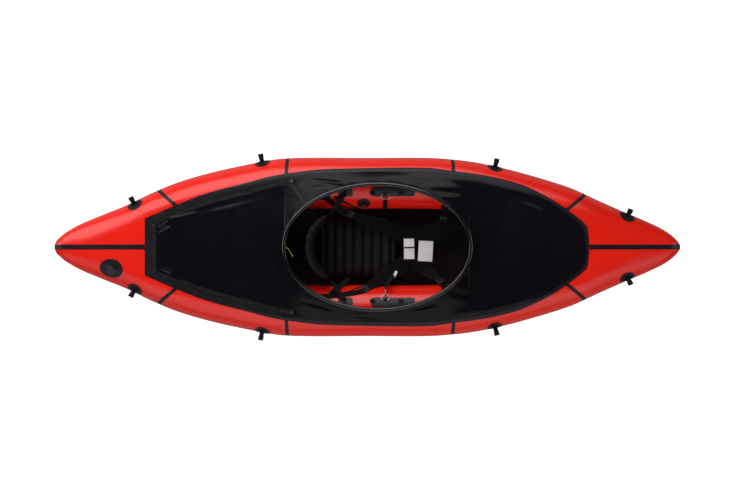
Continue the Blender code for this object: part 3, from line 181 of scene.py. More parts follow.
@lru_cache(maxsize=None)
def tube_section(x):
    """Centre offset, half width, half height and centre height of the tube on one side at x."""
    station = abs(x) / HALF_LENGTH
    half = hull_half_width(x)
    height = TUBE_RADIUS * table_value(BOW_HEIGHT_SHARES if x > 0 else STERN_HEIGHT_SHARES, station)
    centre = half - height
    flat = half * max(0.0, table_value(BOW_FLAT_SHARES if x > 0 else STERN_FLAT_SHARES, station))
    if x > DECK_BOW_X or x < DECK_STERN_X:
        centre = flat
    rise = max(0.0, (station - ROCKER_START_SHARE) / (1 - ROCKER_START_SHARE))
    return centre, half - centre, height, TUBE_CENTRE_Z + TIP_RISE * rise ** 2


def bump(distance, reach):
    """A bell from one at no distance down to nothing."""
    return math.exp(-(distance / reach) ** 2)


def axes_at(place, x, y, z):
    """A frame at a place from its three directions."""
    return Matrix.Translation(place) @ Matrix((x, y, z)).transposed().to_4x4()


def slanted_offset(x, y, seam):
    """How far a point is from a cone's slanted seam, seen from above."""
    _, start_x, start_y, slope = seam
    return (x - start_x - slope * (abs(y) - start_y)) / math.hypot(1, slope)


def relief(x, y, angle):
    """How the welded seams draw the skin in, with small puckers beside them."""
    sizes = bpy.context.scene.packraft_sizes
    lift = 0.0
    offsets = [x - REAR_SEAM_X, x - FRONT_SEAM_X]
    offsets += [slanted_offset(x, y, seam) for seam in CONE_SEAMS if seam[0] * x > 0]
    for offset in offsets:
        near = abs(offset)
        if near < SEAM_REACH:
            lift -= sizes.seam_draw * bump(near, SEAM_DRAW_WIDTH)
            waves = math.sin(math.radians(angle) * 19) + 0.6 * math.sin(math.radians(angle) * 31 + 2)
            lift += sizes.pucker_depth * waves * bump(near - PUCKER_OFFSET, PUCKER_WIDTH)
    turn = math.radians(angle)
    soft = noise.noise(Vector((x * 7, 2.4 * math.cos(turn), 2.4 * math.sin(turn))))
    return lift + SOFT_UNEVENNESS * soft


def skin_point(x, side, angle, lift=0.0):
    """A point on the ideal hull: 0 degrees is outboard, 90 up."""
    centre, width, height, middle = tube_section(x)
    turn = math.radians(angle)
    y = side * (centre + (width + lift) * math.cos(turn))
    return Vector((x, y, middle + (height + lift) * math.sin(turn)))


def dressed_point(x, side, angle, lift=0.0):
    """A point on the dressed skin, with the seams' relief."""
    place = skin_point(x, side, angle)
    return skin_point(x, side, angle, lift + relief(x, place.y, angle))


def skin_frame(x, side, angle, lift):
    """A frame on the hull: local X to the bow, local Z off the skin."""
    place = skin_point(x, side, angle)
    along = skin_point(x + WALL, side, angle) - skin_point(x - WALL, side, angle)
    around = skin_point(x, side, angle + 1) - skin_point(x, side, angle - 1)
    forward = along.normalized()
    normal = forward.cross(around).normalized()
    if normal.dot(skin_point(x, side, angle, TUBE_RADIUS) - place) < 0:
        normal = -normal
    return axes_at(place + normal * lift, forward, normal.cross(forward), normal)


def skin_slant(x, side, angle):
    """How the skin's lengthwise lines run at a place: way round per way along, and stretch."""
    along = (skin_point(x + WALL, side, angle) - skin_point(x - WALL, side, angle)) / (2 * WALL)
    around = (skin_point(x, side, angle + 1) - skin_point(x, side, angle - 1)).normalized()
    lean = along.dot(around)
    return lean, (along - around * lean).length


def cover_height(x, y):
    """Height of a sheet laid over the hull, flat between the tubes' tops."""
    centre, width, height, middle = tube_section(x)
    outside = max(0.0, abs(y) - centre) / width
    return middle + height * math.sqrt(max(0.0, 1 - min(1.0, outside) ** 2))


@lru_cache(maxsize=None)
def deck_half_width(x):
    """Half width of the deck at x, to the outer edge of its seam strip."""
    table = BOW_DECK_SHARES if x > 0 else STERN_DECK_SHARES
    return hull_half_width(x) * table_value(table, abs(x) / HALF_LENGTH)


def coaming_half_width(x):
    """Half width of the coaming's centre line at x, zero past its ends."""
    across = (x - COAMING_CENTRE_X) / (HOOP_LENGTH / 2)
    return HOOP_WIDTH / 2 * math.sqrt(max(0.0, 1 - across ** 2))


@lru_cache(maxsize=None)
def ridge_height(x):
    """Height of the deck along its middle."""
    front = COAMING_CENTRE_X + HOOP_LENGTH / 2
    rear = COAMING_CENTRE_X - HOOP_LENGTH / 2
    if rear <= x <= front:
        return DECK_RIDGE_Z
    zip_x = DECK_STERN_X + STRIP_WIDTH + ZIP_TAPE_WIDTH
    start, end = (front, DECK_BOW_X) if x > front else (rear, zip_x)
    share = min(1.0, (x - start) / (end - start))
    end_z = cover_height(end, 0.0) + DECK_SPREAD_LIFT + WALL - DECK_END_DROP
    return DECK_RIDGE_Z + (end_z - DECK_RIDGE_Z) * share


def softer_max(a, b):
    """The higher of two heights, rounded where they cross."""
    return (a + b + math.sqrt((a - b) ** 2 + CREST_ROUNDING ** 2)) / 2


def deck_height(x, y):
    """Height of the deck's upper face before its folds."""
    edge = deck_half_width(x) - STRIP_WIDTH
    edge_z = cover_height(x, edge) + DECK_LIFT + WALL
    ridge_y = coaming_half_width(x)
    inside = min(1.0, max(0.0, (edge - abs(y)) / max(0.01, edge - ridge_y)))
    crown = inside + inside * (1 - inside) / 4
    tent = edge_z + (ridge_height(x) - edge_z) * crown
    room = min(max(0.0, edge - abs(y)), abs(DECK_BOW_X - x), abs(x - DECK_STERN_X))
    ramp = min(1.0, room / LIFT_RAMP)
    resting = cover_height(x, y) + DECK_LIFT + WALL + (DECK_SPREAD_LIFT - DECK_LIFT) * ramp
    return softer_max(tent, resting)


def even_steps(start, end, count):
    """Evenly spaced values with both ends."""
    return [start + (end - start) * i / count for i in range(count + 1)]


def mirrored(points):
    """Flat places on the other side of the boat, in the opposite order."""
    return [Vector((point.x, -point.y, 0.0)) for point in reversed(points)]


@lru_cache(maxsize=None)
def deck_edge():
    """The deck's outer edge seen from above, anticlockwise from the middle of the bow end."""
    corner = deck_half_width(DECK_BOW_X)
    bow = [Vector((DECK_BOW_X + DECK_BOW_BULGE * (1 - share ** 2), corner * share, 0.0))
           for share in even_steps(0.0, 1.0, 8)[:-1]]
    hinge = [DECK_BOW_X, FLAP_HINGE_X, DECK_STERN_X]
    stations = []
    for start, end in zip(hinge, hinge[1:]):
        stations += even_steps(start, end, round(abs(end - start) / EDGE_STEP))[:-1]
    side = [Vector((x, deck_half_width(x), 0.0)) for x in stations + [DECK_STERN_X]]
    stern = side[-1].y
    transom = [Vector((DECK_STERN_X, stern * share, 0.0)) for share in even_steps(1.0, -1.0, 20)[1:-1]]
    return bow + side + transom + mirrored(side) + mirrored(bow[1:])


def inset(outline, distance):
    """A closed outline moved inwards, with mitred corners."""
    moved = []
    count = len(outline)
    for i, point in enumerate(outline):
        before = (point - outline[i - 1]).normalized()
        after = (outline[(i + 1) % count] - point).normalized()
        first = Vector((-before.y, before.x, 0.0))
        second = Vector((-after.y, after.x, 0.0))
        moved.append(point + (first + second) * distance / max(0.4, 1 + first.dot(second)))
    return moved


@lru_cache(maxsize=None)
def hinge_places():
    """Where the port and the starboard end of the flap's hinge come in the deck's edge."""
    outline = deck_edge()
    near = [i for i, point in enumerate(outline) if abs(point.x - FLAP_HINGE_X) < 1e-6]
    return near[0], near[-1]


# Folds of the deck: start and end from above, depth and width of the crease
DECK_FOLDS = (
    (-0.262, 0.312, -0.080, 0.296, 0.0048, 0.011), (-0.235, 0.287, -0.120, 0.288, 0.0032, 0.012),
    (0.125, 0.308, 0.250, 0.277, 0.0042, 0.010), (0.085, 0.318, 0.330, 0.300, 0.0028, 0.014),
    (0.300, 0.262, 0.430, 0.250, 0.0035, 0.016), (-0.345, 0.300, -0.300, 0.215, 0.0018, 0.010),
    (-0.110, -0.302, 0.060, -0.306, 0.0036, 0.012), (-0.300, -0.255, -0.130, -0.302, 0.0030, 0.012),
    (0.180, -0.300, 0.330, -0.262, 0.0028, 0.013), (0.380, -0.210, 0.520, -0.240, 0.0012, 0.020),
    (0.470, 0.120, 0.700, 0.230, 0.0010, 0.030), (0.500, -0.080, 0.760, -0.200, 0.0010, 0.032),
    (0.520, 0.000, 0.900, 0.020, 0.0008, 0.034), (0.700, 0.240, 0.840, 0.175, 0.0030, 0.015),
    (-0.985, 0.098, -0.935, 0.128, 0.0050, 0.006), (-0.980, 0.070, -0.925, 0.104, 0.0040, 0.007),
    (-0.940, 0.140, -0.800, 0.172, 0.0028, 0.009), (-0.975, -0.090, -0.900, -0.128, 0.0035, 0.009),
    (-0.860, -0.130, -0.560, -0.215, 0.0012, 0.016), (-0.800, 0.165, -0.520, 0.232, 0.0014, 0.014),
    (-0.500, 0.180, -0.430, 0.050, 0.0010, 0.026), (-0.520, -0.170, -0.430, -0.060, 0.0010, 0.026),
)


def fold_height(x, y):
    """Height that the deck's folds add at a place."""
    lift = 0.0
    for start_x, start_y, end_x, end_y, depth, width in DECK_FOLDS:
        run_x, run_y = end_x - start_x, end_y - start_y
        length = math.hypot(run_x, run_y)
        along = ((x - start_x) * run_x + (y - start_y) * run_y) / length ** 2
        if -0.1 < along < 1.1:
            across = ((x - start_x) * run_y - (y - start_y) * run_x) / length
            if abs(across) < 5 * width:
                fade = math.sin(math.pi * (along + 0.1) / 1.2)
                shape = 0.9 * bump(across - 1.3 * width, width) - bump(across, width)
                lift += depth * fade * (shape + 0.35 * bump(across + 1.4 * width, width))
    return lift + 0.0010 * noise.noise(Vector((x * 9, y * 14, 0.7)))


# Mesh tools

ALONG_ACROSS = "along_across"
PART_COLLECTION = "packraft_visual"
UP = Vector((0.0, 0.0, 1.0))
STITCH_SIZE = (0.0028, 0.0007, 0.0007)
STITCH_PITCH = 0.0042
STITCH_LIFT = 0.0004


def bent_grid(columns, rows, place, reach=(1.0, 1.0)):
    """A grid whose points take their places from shares along and across; its map is in metres."""
    work = bmesh.new()
    layer = work.loops.layers.uv.new(ALONG_ACROSS)
    bmesh.ops.create_grid(work, x_segments=columns, y_segments=rows, size=0.5)
    for face in work.faces:
        for loop in face.loops:
            spot = loop.vert.co
            loop[layer].uv = ((spot.x + 0.5) * reach[0], (spot.y + 0.5) * reach[1])
    for vert in work.verts:
        vert.co = place(vert.co.x + 0.5, vert.co.y + 0.5)
    return work


def face_away(work, inside):
    """Turns the faces away from the inside, a point or a function of the place that gives one."""
    bmesh.ops.recalc_face_normals(work, faces=work.faces)
    score = 0.0
    for face in work.faces:
        middle = face.calc_center_median()
        origin = inside(middle) if callable(inside) else inside
        score += (middle - origin).dot(face.normal) * face.calc_area()
    if score < 0:
        bmesh.ops.reverse_faces(work, faces=work.faces)


def face_towards(work, way=UP):
    """Turns an open sheet's faces towards a direction."""
    bmesh.ops.recalc_face_normals(work, faces=work.faces)
    if sum((face.normal for face in work.faces), Vector()).dot(way) < 0:
        bmesh.ops.reverse_faces(work, faces=work.faces)


def below(place):
    """The place on the ground under a place."""
    return Vector((place.x, place.y, 0.0))


def weld(work, distance=2e-5):
    """Merges doubled points and drops faces that have no area left."""
    bmesh.ops.remove_doubles(work, verts=work.verts, dist=distance)
    bmesh.ops.dissolve_degenerate(work, edges=work.edges, dist=distance / 4)


def cap_ends(work):
    """Merges doubled points and closes what is left open."""
    weld(work)
    bmesh.ops.holes_fill(work, edges=[edge for edge in work.edges if edge.is_boundary], sides=0)
    bmesh.ops.recalc_face_normals(work, faces=work.faces)


def give_wall(work, thickness):
    """Makes an open sheet a closed body, its outer face where the sheet was."""
    bmesh.ops.solidify(work, geom=work.faces[:] + work.edges[:] + work.verts[:], thickness=thickness)
    bmesh.ops.recalc_face_normals(work, faces=work.faces)


def drop_wall(work, depth):
    """Makes an open sheet that lies flat a closed body, its lower face straight below it."""
    grown = bmesh.ops.extrude_face_region(work, geom=work.faces[:], use_keep_orig=True)
    lower = [item for item in grown["geom"] if isinstance(item, bmesh.types.BMVert)]
    bmesh.ops.translate(work, verts=lower, vec=(0.0, 0.0, -depth))
    bmesh.ops.recalc_face_normals(work, faces=work.faces)


def join_copy(work, mould, turn):
    """Adds a copy of a small bmesh, put in place by a matrix."""
    shape = bpy.data.meshes.new("stamp")
    mould.to_mesh(shape)
    shape.transform(turn)
    work.from_mesh(shape)
    bpy.data.meshes.remove(shape)


def add_piece(name, work, word, body, nodes=(), smooth=40.0):
    """Links a finished mesh as a piece of the boat that rides on a body and stands for CAD nodes."""
    mesh = bpy.data.meshes.new(name)
    work.to_mesh(mesh)
    work.free()
    piece = bpy.data.objects.new(name, mesh)
    parts = bpy.data.collections.get(PART_COLLECTION)
    if parts is None:
        parts = bpy.data.collections.new(PART_COLLECTION)
        bpy.context.scene.collection.children.link(parts)
    parts.objects.link(piece)
    mesh.materials.append(finish(word))
    mesh.shade_smooth()
    if smooth:
        mesh.set_sharp_from_angle(angle=math.radians(smooth))
    if body:
        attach(piece, body)
    if nodes:
        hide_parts(*nodes)
    return piece


def smooth_path(points, steps=12):
    """Points along a smooth curve through stops, with the stops' other values."""
    path = []
    last = len(points) - 1
    for i in range(last):
        four = points[max(i - 1, 0)], points[i], points[i + 1], points[min(i + 2, last)]
        path += [[curve_value(*values, k / steps) for values in zip(*four)] for k in range(steps)]
    return path + [list(points[-1])]


def curve_value(before, start, end, after, share):
    """One value on a smooth curve between start and end."""
    square = 2 * before - 5 * start + 4 * end - after
    cube = 3 * start - before - 3 * end + after
    return start + ((end - before) * share + square * share ** 2 + cube * share ** 3) / 2


def along_path(path, share):
    """The values of a path of rows at a share of its length in rows."""
    spot = min(max(share, 0.0), 1.0) * (len(path) - 1)
    low = min(int(spot), len(path) - 2)
    return [a + (b - a) * (spot - low) for a, b in zip(path[low], path[low + 1])]


def path_length(path):
    """Length of a path whose rows start with a place."""
    return sum((Vector(b[:3]) - Vector(a[:3])).length for a, b in zip(path, path[1:]))


def strap_stop(place, half_width, up):
    """One stop of a strap's route: place, half width, and which way the strap faces."""
    return (*place, half_width, *up.normalized())


def strap_axes(path, share, reach=0.01):
    """Place, half width, the ways out, ahead and off the face at a share of a strap's path."""
    here = along_path(path, share)
    ahead = Vector(along_path(path, share + reach)[:3]) - Vector(along_path(path, share - reach)[:3])
    up = Vector(here[4:7]).normalized()
    out = up.cross(ahead).normalized()
    return Vector(here[:3]), here[3], out, ahead.normalized(), ahead.cross(out).normalized()


def strap_mesh(route, thickness, across=6, step=0.006):
    """A flat strap along a route of stops, its face towards the side that the stops name."""
    path = smooth_path(route)
    length = path_length(path)

    def place(along, side):
        spot, half_width, out, _, face = strap_axes(path, along)
        return spot + out * half_width * (2 * side - 1) + face * (thickness / 2)

    reach = (length, 2 * max(stop[3] for stop in route))
    work = bent_grid(max(6, round(length / step)), across, place, reach)
    face_towards(work, sum((Vector(stop[4:7]) for stop in route), Vector()))
    give_wall(work, thickness)
    return work


def webbing_band(name, route, body, nodes=(), thickness=WEBBING_THICKNESS, **mesh):
    """A strap of webbing along a route of stops."""
    return add_piece(name, strap_mesh(route, thickness, **mesh), "webbing", body, nodes)


def round_tube(points, radius, sides=12, closed=False):
    """A round tube along a smooth row of places, closed on itself or rounded at its ends."""
    count = len(points)
    caps = 0 if closed else 3
    columns = count if closed else count - 1 + 2 * caps

    def ahead_at(i):
        """The way ahead at place i."""
        low, high = (i - 1, (i + 1) % count) if closed else (max(i - 1, 0), min(i + 1, count - 1))
        return (points[high] - points[low]).normalized()

    sides_out = [ahead_at(0).orthogonal().normalized()]
    for i in range(count):
        side = sides_out[-1] - ahead_at(i) * sides_out[-1].dot(ahead_at(i))
        sides_out.append(side.normalized())

    def place(along, around):
        turn = math.tau * around
        step = round(along * columns)
        i = step % count if closed else min(max(step - caps, 0), count - 1)
        past = 0 if closed else min(step - caps, 0) or max(0, step - caps - (count - 1))
        lean = math.pi / 2 * past / 3
        side, ahead = sides_out[i + 1], ahead_at(i)
        out = side * math.cos(turn) + ahead.cross(side) * math.sin(turn)
        return points[i] + (ahead * math.sin(lean) + out * math.cos(lean)) * radius

    work = bent_grid(columns, sides, place, (path_length(points), math.tau * radius))
    weld(work, radius / 200)
    bmesh.ops.recalc_face_normals(work, faces=work.faces)
    return work


def turned_shape(profile, turn, sides=48):
    """A shape spun about local Z from a profile of radius and height, then put in place."""
    work = bmesh.new()
    points = [work.verts.new((radius, 0.0, height)) for radius, height in profile]
    edges = [work.edges.new(pair) for pair in zip(points, points[1:])]
    bmesh.ops.spin(work, geom=points + edges, cent=(0, 0, 0), axis=(0, 0, 1), angle=math.tau,
                   steps=sides, use_merge=True, use_duplicate=False)
    weld(work, 1e-6)
    bmesh.ops.recalc_face_normals(work, faces=work.faces)
    bmesh.ops.transform(work, matrix=turn, verts=work.verts)
    return work


def plain_box(size):
    """A box about its own origin."""
    work = bmesh.new()
    bmesh.ops.create_cube(work, size=1.0)
    bmesh.ops.scale(work, verts=work.verts, vec=size)
    return work


def rounded_boxes(turn, boxes, work=None):
    """Joined boxes with rounded edges, each a size, a place in a frame and a radius."""
    work = work or bmesh.new()
    for size, place, radius in boxes:
        box = plain_box(size)
        bmesh.ops.bevel(box, geom=box.edges[:], offset=radius, segments=3, affect="EDGES",
                        profile=0.5, material=-1)
        join_copy(work, box, turn @ Matrix.Translation(place))
        box.free()
    return work


def even_spots(row, pitch, start):
    """Evenly spaced spots along a row of places and facings, with the way ahead and the facing."""
    travelled = 0.0
    for (a, up), (b, _) in zip(row, row[1:]):
        span = (b - a).length
        while start <= travelled + span and span > 0:
            yield a.lerp(b, (start - travelled) / span), (b - a).normalized(), up
            start += pitch
        travelled += span


def stitched(name, rows, body, lift=STITCH_LIFT):
    """Stitches of thread along rows of places and facings, as one piece."""
    work = bmesh.new()
    mould = plain_box(STITCH_SIZE)
    for row in rows:
        for spot, ahead, up in even_spots(row, STITCH_PITCH, STITCH_PITCH / 2):
            side = up.cross(ahead).normalized()
            face = ahead.cross(side)
            join_copy(work, mould, axes_at(spot + face * lift, ahead, side, face))
    mould.free()
    bmesh.ops.recalc_face_normals(work, faces=work.faces)
    return add_piece(name, work, "thread", body)


# Shared effects

def feed(tree, value, socket):
    """Links a socket to a node's input, or sets the input to a number or a colour."""
    if isinstance(value, bpy.types.NodeSocket):
        tree.links.new(value, socket)
    else:
        socket.default_value = value


def node_on(tree, kind, inputs, **settings):
    """A new node with its inputs fed, by number or by name, and its settings made."""
    node = tree.nodes.new("ShaderNode" + kind)
    for label, value in settings.items():
        setattr(node, label, value)
    for label, value in inputs.items():
        feed(tree, value, node.inputs[label])
    return node


def math_on(tree):
    """A function that puts a Math node on sockets or numbers and gives its output."""
    return lambda operation, *values: node_on(
        tree, "Math", dict(enumerate(values)), operation=operation).outputs[0]


def noise_value(tree, vector, scale, detail, roughness=0.5, distortion=0.0):
    """The factor of a noise texture."""
    return node_on(tree, "TexNoise", {"Vector": vector, "Scale": scale, "Detail": detail,
                                      "Roughness": roughness, "Distortion": distortion}).outputs[0]


def ramp_value(tree, value, low, high):
    """A value spread smoothly from nothing at low to one at high."""
    return node_on(tree, "MapRange", {"Value": value, "From Min": low, "From Max": high},
                   interpolation_type="SMOOTHSTEP").outputs[0]


def shared_effect(setting, amount, *outputs):
    """Makes an effect's node group once, from a function that gives its outputs' sockets."""
    def with_wiring(wiring):
        def group():
            name = wiring.__name__
            if name in bpy.data.node_groups:
                return bpy.data.node_groups[name]
            tree = bpy.data.node_groups.new(name, "ShaderNodeTree")
            tree.interface.new_socket(name="Vector", in_out="INPUT", socket_type="NodeSocketVector")
            tree.interface.new_socket(
                name=setting, in_out="INPUT", socket_type="NodeSocketFloat").default_value = amount
            for label in outputs:
                tree.interface.new_socket(name=label, in_out="OUTPUT", socket_type="NodeSocketFloat")
            source = tree.nodes.new("NodeGroupInput")
            result = tree.nodes.new("NodeGroupOutput")
            for label, socket in zip(outputs, wiring(tree, math_on(tree), *source.outputs[:2])):
                tree.links.new(socket, result.inputs[label])
            return tree
        return group
    return with_wiring


def split_by(tree, calc, vector, pitch):
    """The first two parts of a vector, each as a count of pitches."""
    parts = node_on(tree, "SeparateXYZ", {0: vector}).outputs
    return calc("DIVIDE", parts[0], pitch), calc("DIVIDE", parts[1], pitch)


@shared_effect("Threads", 1500.0, "Height")
def plain_weave(tree, calc, vector, threads):
    """Height of a plain weave: warp and weft pass over each other in turn."""
    spread_out = node_on(tree, "VectorMath", {0: vector, "Scale": threads}, operation="SCALE").outputs[0]
    parts = node_on(tree, "SeparateXYZ", {0: spread_out}).outputs
    slanted = calc("ADD", parts[1], parts[2])
    warp = calc("SINE", calc("MULTIPLY", parts[0], math.pi))
    weft = calc("SINE", calc("MULTIPLY", slanted, math.pi))
    over = calc("GREATER_THAN", calc("MULTIPLY", warp, weft), 0.0)
    warp_height = calc("MULTIPLY", calc("ABSOLUTE", warp), over)
    weft_height = calc("MULTIPLY", calc("ABSOLUTE", weft), calc("SUBTRACT", 1.0, over))
    return [calc("ADD", warp_height, weft_height)]


@shared_effect("Scale", 12.0, "Height", "Crease")
def cloth_folds(tree, calc, vector, scale):
    """Soft folds and finer creases of cloth under tension, and a mask of the creases."""
    broad = noise_value(tree, vector, scale, 2.0, 0.45, 0.6)
    fine = noise_value(tree, vector, calc("MULTIPLY", scale, 3.1), 3.0, 0.5, 1.4)
    away = calc("ABSOLUTE", calc("SUBTRACT", fine, 0.5))
    crease = calc("SUBTRACT", 1.0, ramp_value(tree, away, 0.0, 0.05))
    return [calc("ADD", broad, calc("MULTIPLY", crease, -0.18)), crease]


@shared_effect("Scale", 6.0, "Mask")
def scuff_marks(tree, calc, vector, scale):
    """A mask of scuffs and dust: patchy, with a few thin strokes."""
    patches = ramp_value(tree, noise_value(tree, vector, scale, 4.0, 0.6), 0.42, 0.72)
    stretched = node_on(tree, "Mapping", {"Vector": vector, "Scale": (1.0, 14.0, 14.0),
                                          "Rotation": (0.0, 0.0, 0.5)}).outputs[0]
    strokes = ramp_value(tree, noise_value(tree, stretched, 9.0, 3.0, 0.6), 0.66, 0.74)
    return [calc("MAXIMUM", calc("MULTIPLY", patches, 0.7), strokes)]


@shared_effect("Pitch", 0.0017, "Height")
def webbing_ribs(tree, calc, vector, pitch):
    """Height of woven webbing: slanted ribs in lengthwise columns, and a thicker selvedge."""
    along, across = split_by(tree, calc, vector, pitch)
    ribs = calc("ADD", along, calc("MULTIPLY", calc("PINGPONG", across, 1.0), 0.8))
    wave = calc("ABSOLUTE", calc("SINE", calc("MULTIPLY", ribs, math.pi)))
    edge = calc("ABSOLUTE", calc("SINE", calc("MULTIPLY", across, math.pi)))
    return [calc("ADD", calc("MULTIPLY", wave, 0.7), calc("MULTIPLY", edge, 0.3))]


@shared_effect("Scale", 1800.0, "Height")
def moulded_grain(tree, calc, vector, scale):
    """Height of the fine grain of moulded plastic."""
    cells = node_on(tree, "TexVoronoi", {"Vector": vector, "Scale": scale}, feature="SMOOTH_F1")
    return [cells.outputs["Distance"]]


@shared_effect("Pitch", 0.0016, "Height", "Strand")
def cord_braid(tree, calc, vector, pitch):
    """Height of a braided sheath on a cord's own map, and a mask of every other strand."""
    ways = split_by(tree, calc, vector, pitch)
    right, left = (calc("SINE", calc("MULTIPLY", calc(sign, *ways), math.pi)) for sign in ("ADD", "SUBTRACT"))
    return [calc("MAXIMUM", calc("ABSOLUTE", right), calc("ABSOLUTE", left)),
            calc("GREATER_THAN", calc("MULTIPLY", right, left), 0.0)]


# Materials

def object_place(tree):
    """Object coordinates."""
    return tree.nodes.new("ShaderNodeTexCoord").outputs["Object"]


def own_map(tree):
    """The piece's own map, in metres along and across it."""
    return node_on(tree, "UVMap", {}, uv_map=ALONG_ACROSS).outputs[0]


def effect(tree, maker, vector, **values):
    """Places a shared effect; gives its outputs."""
    return node_on(tree, "Group", {"Vector": vector, **values}, node_tree=maker()).outputs


def mixed_colour(tree, mask, first, second):
    """A colour between two, by a mask."""
    node = node_on(tree, "Mix", {"Factor": mask}, data_type="RGBA")
    for label, colour in (("A", first), ("B", second)):
        linked = isinstance(colour, bpy.types.NodeSocket)
        feed(tree, colour if linked else (*colour[:3], 1.0), node.inputs[label])
    return node.outputs["Result"]


def mixed_value(tree, mask, first, second):
    """A number between two, by a mask."""
    return node_on(tree, "MapRange", {"Value": mask, "To Min": first, "To Max": second}).outputs[0]


def shade_of(colour, factor):
    """A colour made darker or lighter."""
    return tuple(min(1.0, part * factor) for part in colour[:3])


def new_material(name, **extra):
    """A material with its Principled shader; extra names sockets with underscores for spaces."""
    material = bpy.data.materials.new(name)
    material.use_nodes = True
    shader = material.node_tree.nodes["Principled BSDF"]
    for label, value in extra.items():
        shader.inputs[label.replace("_", " ")].default_value = value
    return material, material.node_tree, shader


def clad(tree, shader, colour, mask, roughness, heights):
    """Feeds a shader its colour, its roughness by a mask, and heights with their depths in metres."""
    tree.links.new(colour, shader.inputs["Base Color"])
    tree.links.new(mixed_value(tree, mask, *roughness), shader.inputs["Roughness"])
    normal = {}
    for height, depth in heights:
        bump_node = node_on(tree, "Bump", {"Strength": 1.0, "Distance": depth, "Height": height, **normal})
        normal = {"Normal": bump_node.outputs[0]}
    tree.links.new(normal["Normal"], shader.inputs["Normal"])


def coated_cloth(tree, shader, colour, worn, roughness, folds, fold_depth, threads=1400.0,
                 weave=0.00003, scuffs=5.0):
    """Cloth coated with a plastic film: the weave shows through, with folds, creases and scuffs."""
    vector = object_place(tree)
    fold = effect(tree, cloth_folds, vector, Scale=folds)["Height"]
    scuff = effect(tree, scuff_marks, vector, Scale=scuffs)["Mask"]
    thread = effect(tree, plain_weave, vector, Threads=threads)["Height"]
    clad(tree, shader, mixed_colour(tree, scuff, colour, worn), scuff, roughness,
         ((fold, fold_depth), (thread, weave)))


def woven_band(tree, shader, colour, roughness, pitch=0.0017, depth=0.0004):
    """Woven webbing on the strap's own map, with painted shade in the ribs' valleys, a painted sheen on their
    crests, and a paler bloom where it rubs.
    """
    ribs = effect(tree, webbing_ribs, own_map(tree), Pitch=pitch)["Height"]
    scuff = effect(tree, scuff_marks, object_place(tree), Scale=22.0)["Mask"]
    # painted shade and sheen: the colour darkens in the ribs' valleys and lightens on their crests, by the
    # ribs' height
    rib_shade_and_sheen = mixed_colour(tree, ribs, shade_of(colour, 0.5), shade_of(colour, 1.5))
    clad(tree, shader, mixed_colour(tree, scuff, rib_shade_and_sheen, shade_of(colour, 2.4)), scuff, roughness,
         ((ribs, depth),))


def moulded_plastic(tree, shader, colour, roughness):
    """Moulded plastic: fine grain and faint handling marks."""
    vector = object_place(tree)
    grains = effect(tree, moulded_grain, vector, Scale=1500.0)["Height"]
    scuff = effect(tree, scuff_marks, vector, Scale=45.0)["Mask"]
    clad(tree, shader, mixed_colour(tree, scuff, colour, shade_of(colour, 1.9)), scuff, roughness,
         ((grains, 0.00008),))


def bare_metal(tree, shader, colour, roughness):
    """Bright wire, drawn along its length, with dull spots."""
    vector = object_place(tree)
    scuff = effect(tree, scuff_marks, vector, Scale=60.0)["Mask"]
    clad(tree, shader, mixed_colour(tree, scuff, colour, shade_of(colour, 0.7)), scuff, roughness,
         ((noise_value(tree, vector, 2400.0, 2.0, 0.6), 0.00002),))


def braided_cord(tree, shader, colour, fleck, roughness):
    """A braided cord with every other strand in a second shade."""
    braid = effect(tree, cord_braid, own_map(tree), Pitch=0.0012)
    clad(tree, shader, mixed_colour(tree, braid["Strand"], colour, fleck), braid["Height"], roughness,
         ((braid["Height"], 0.0003),))


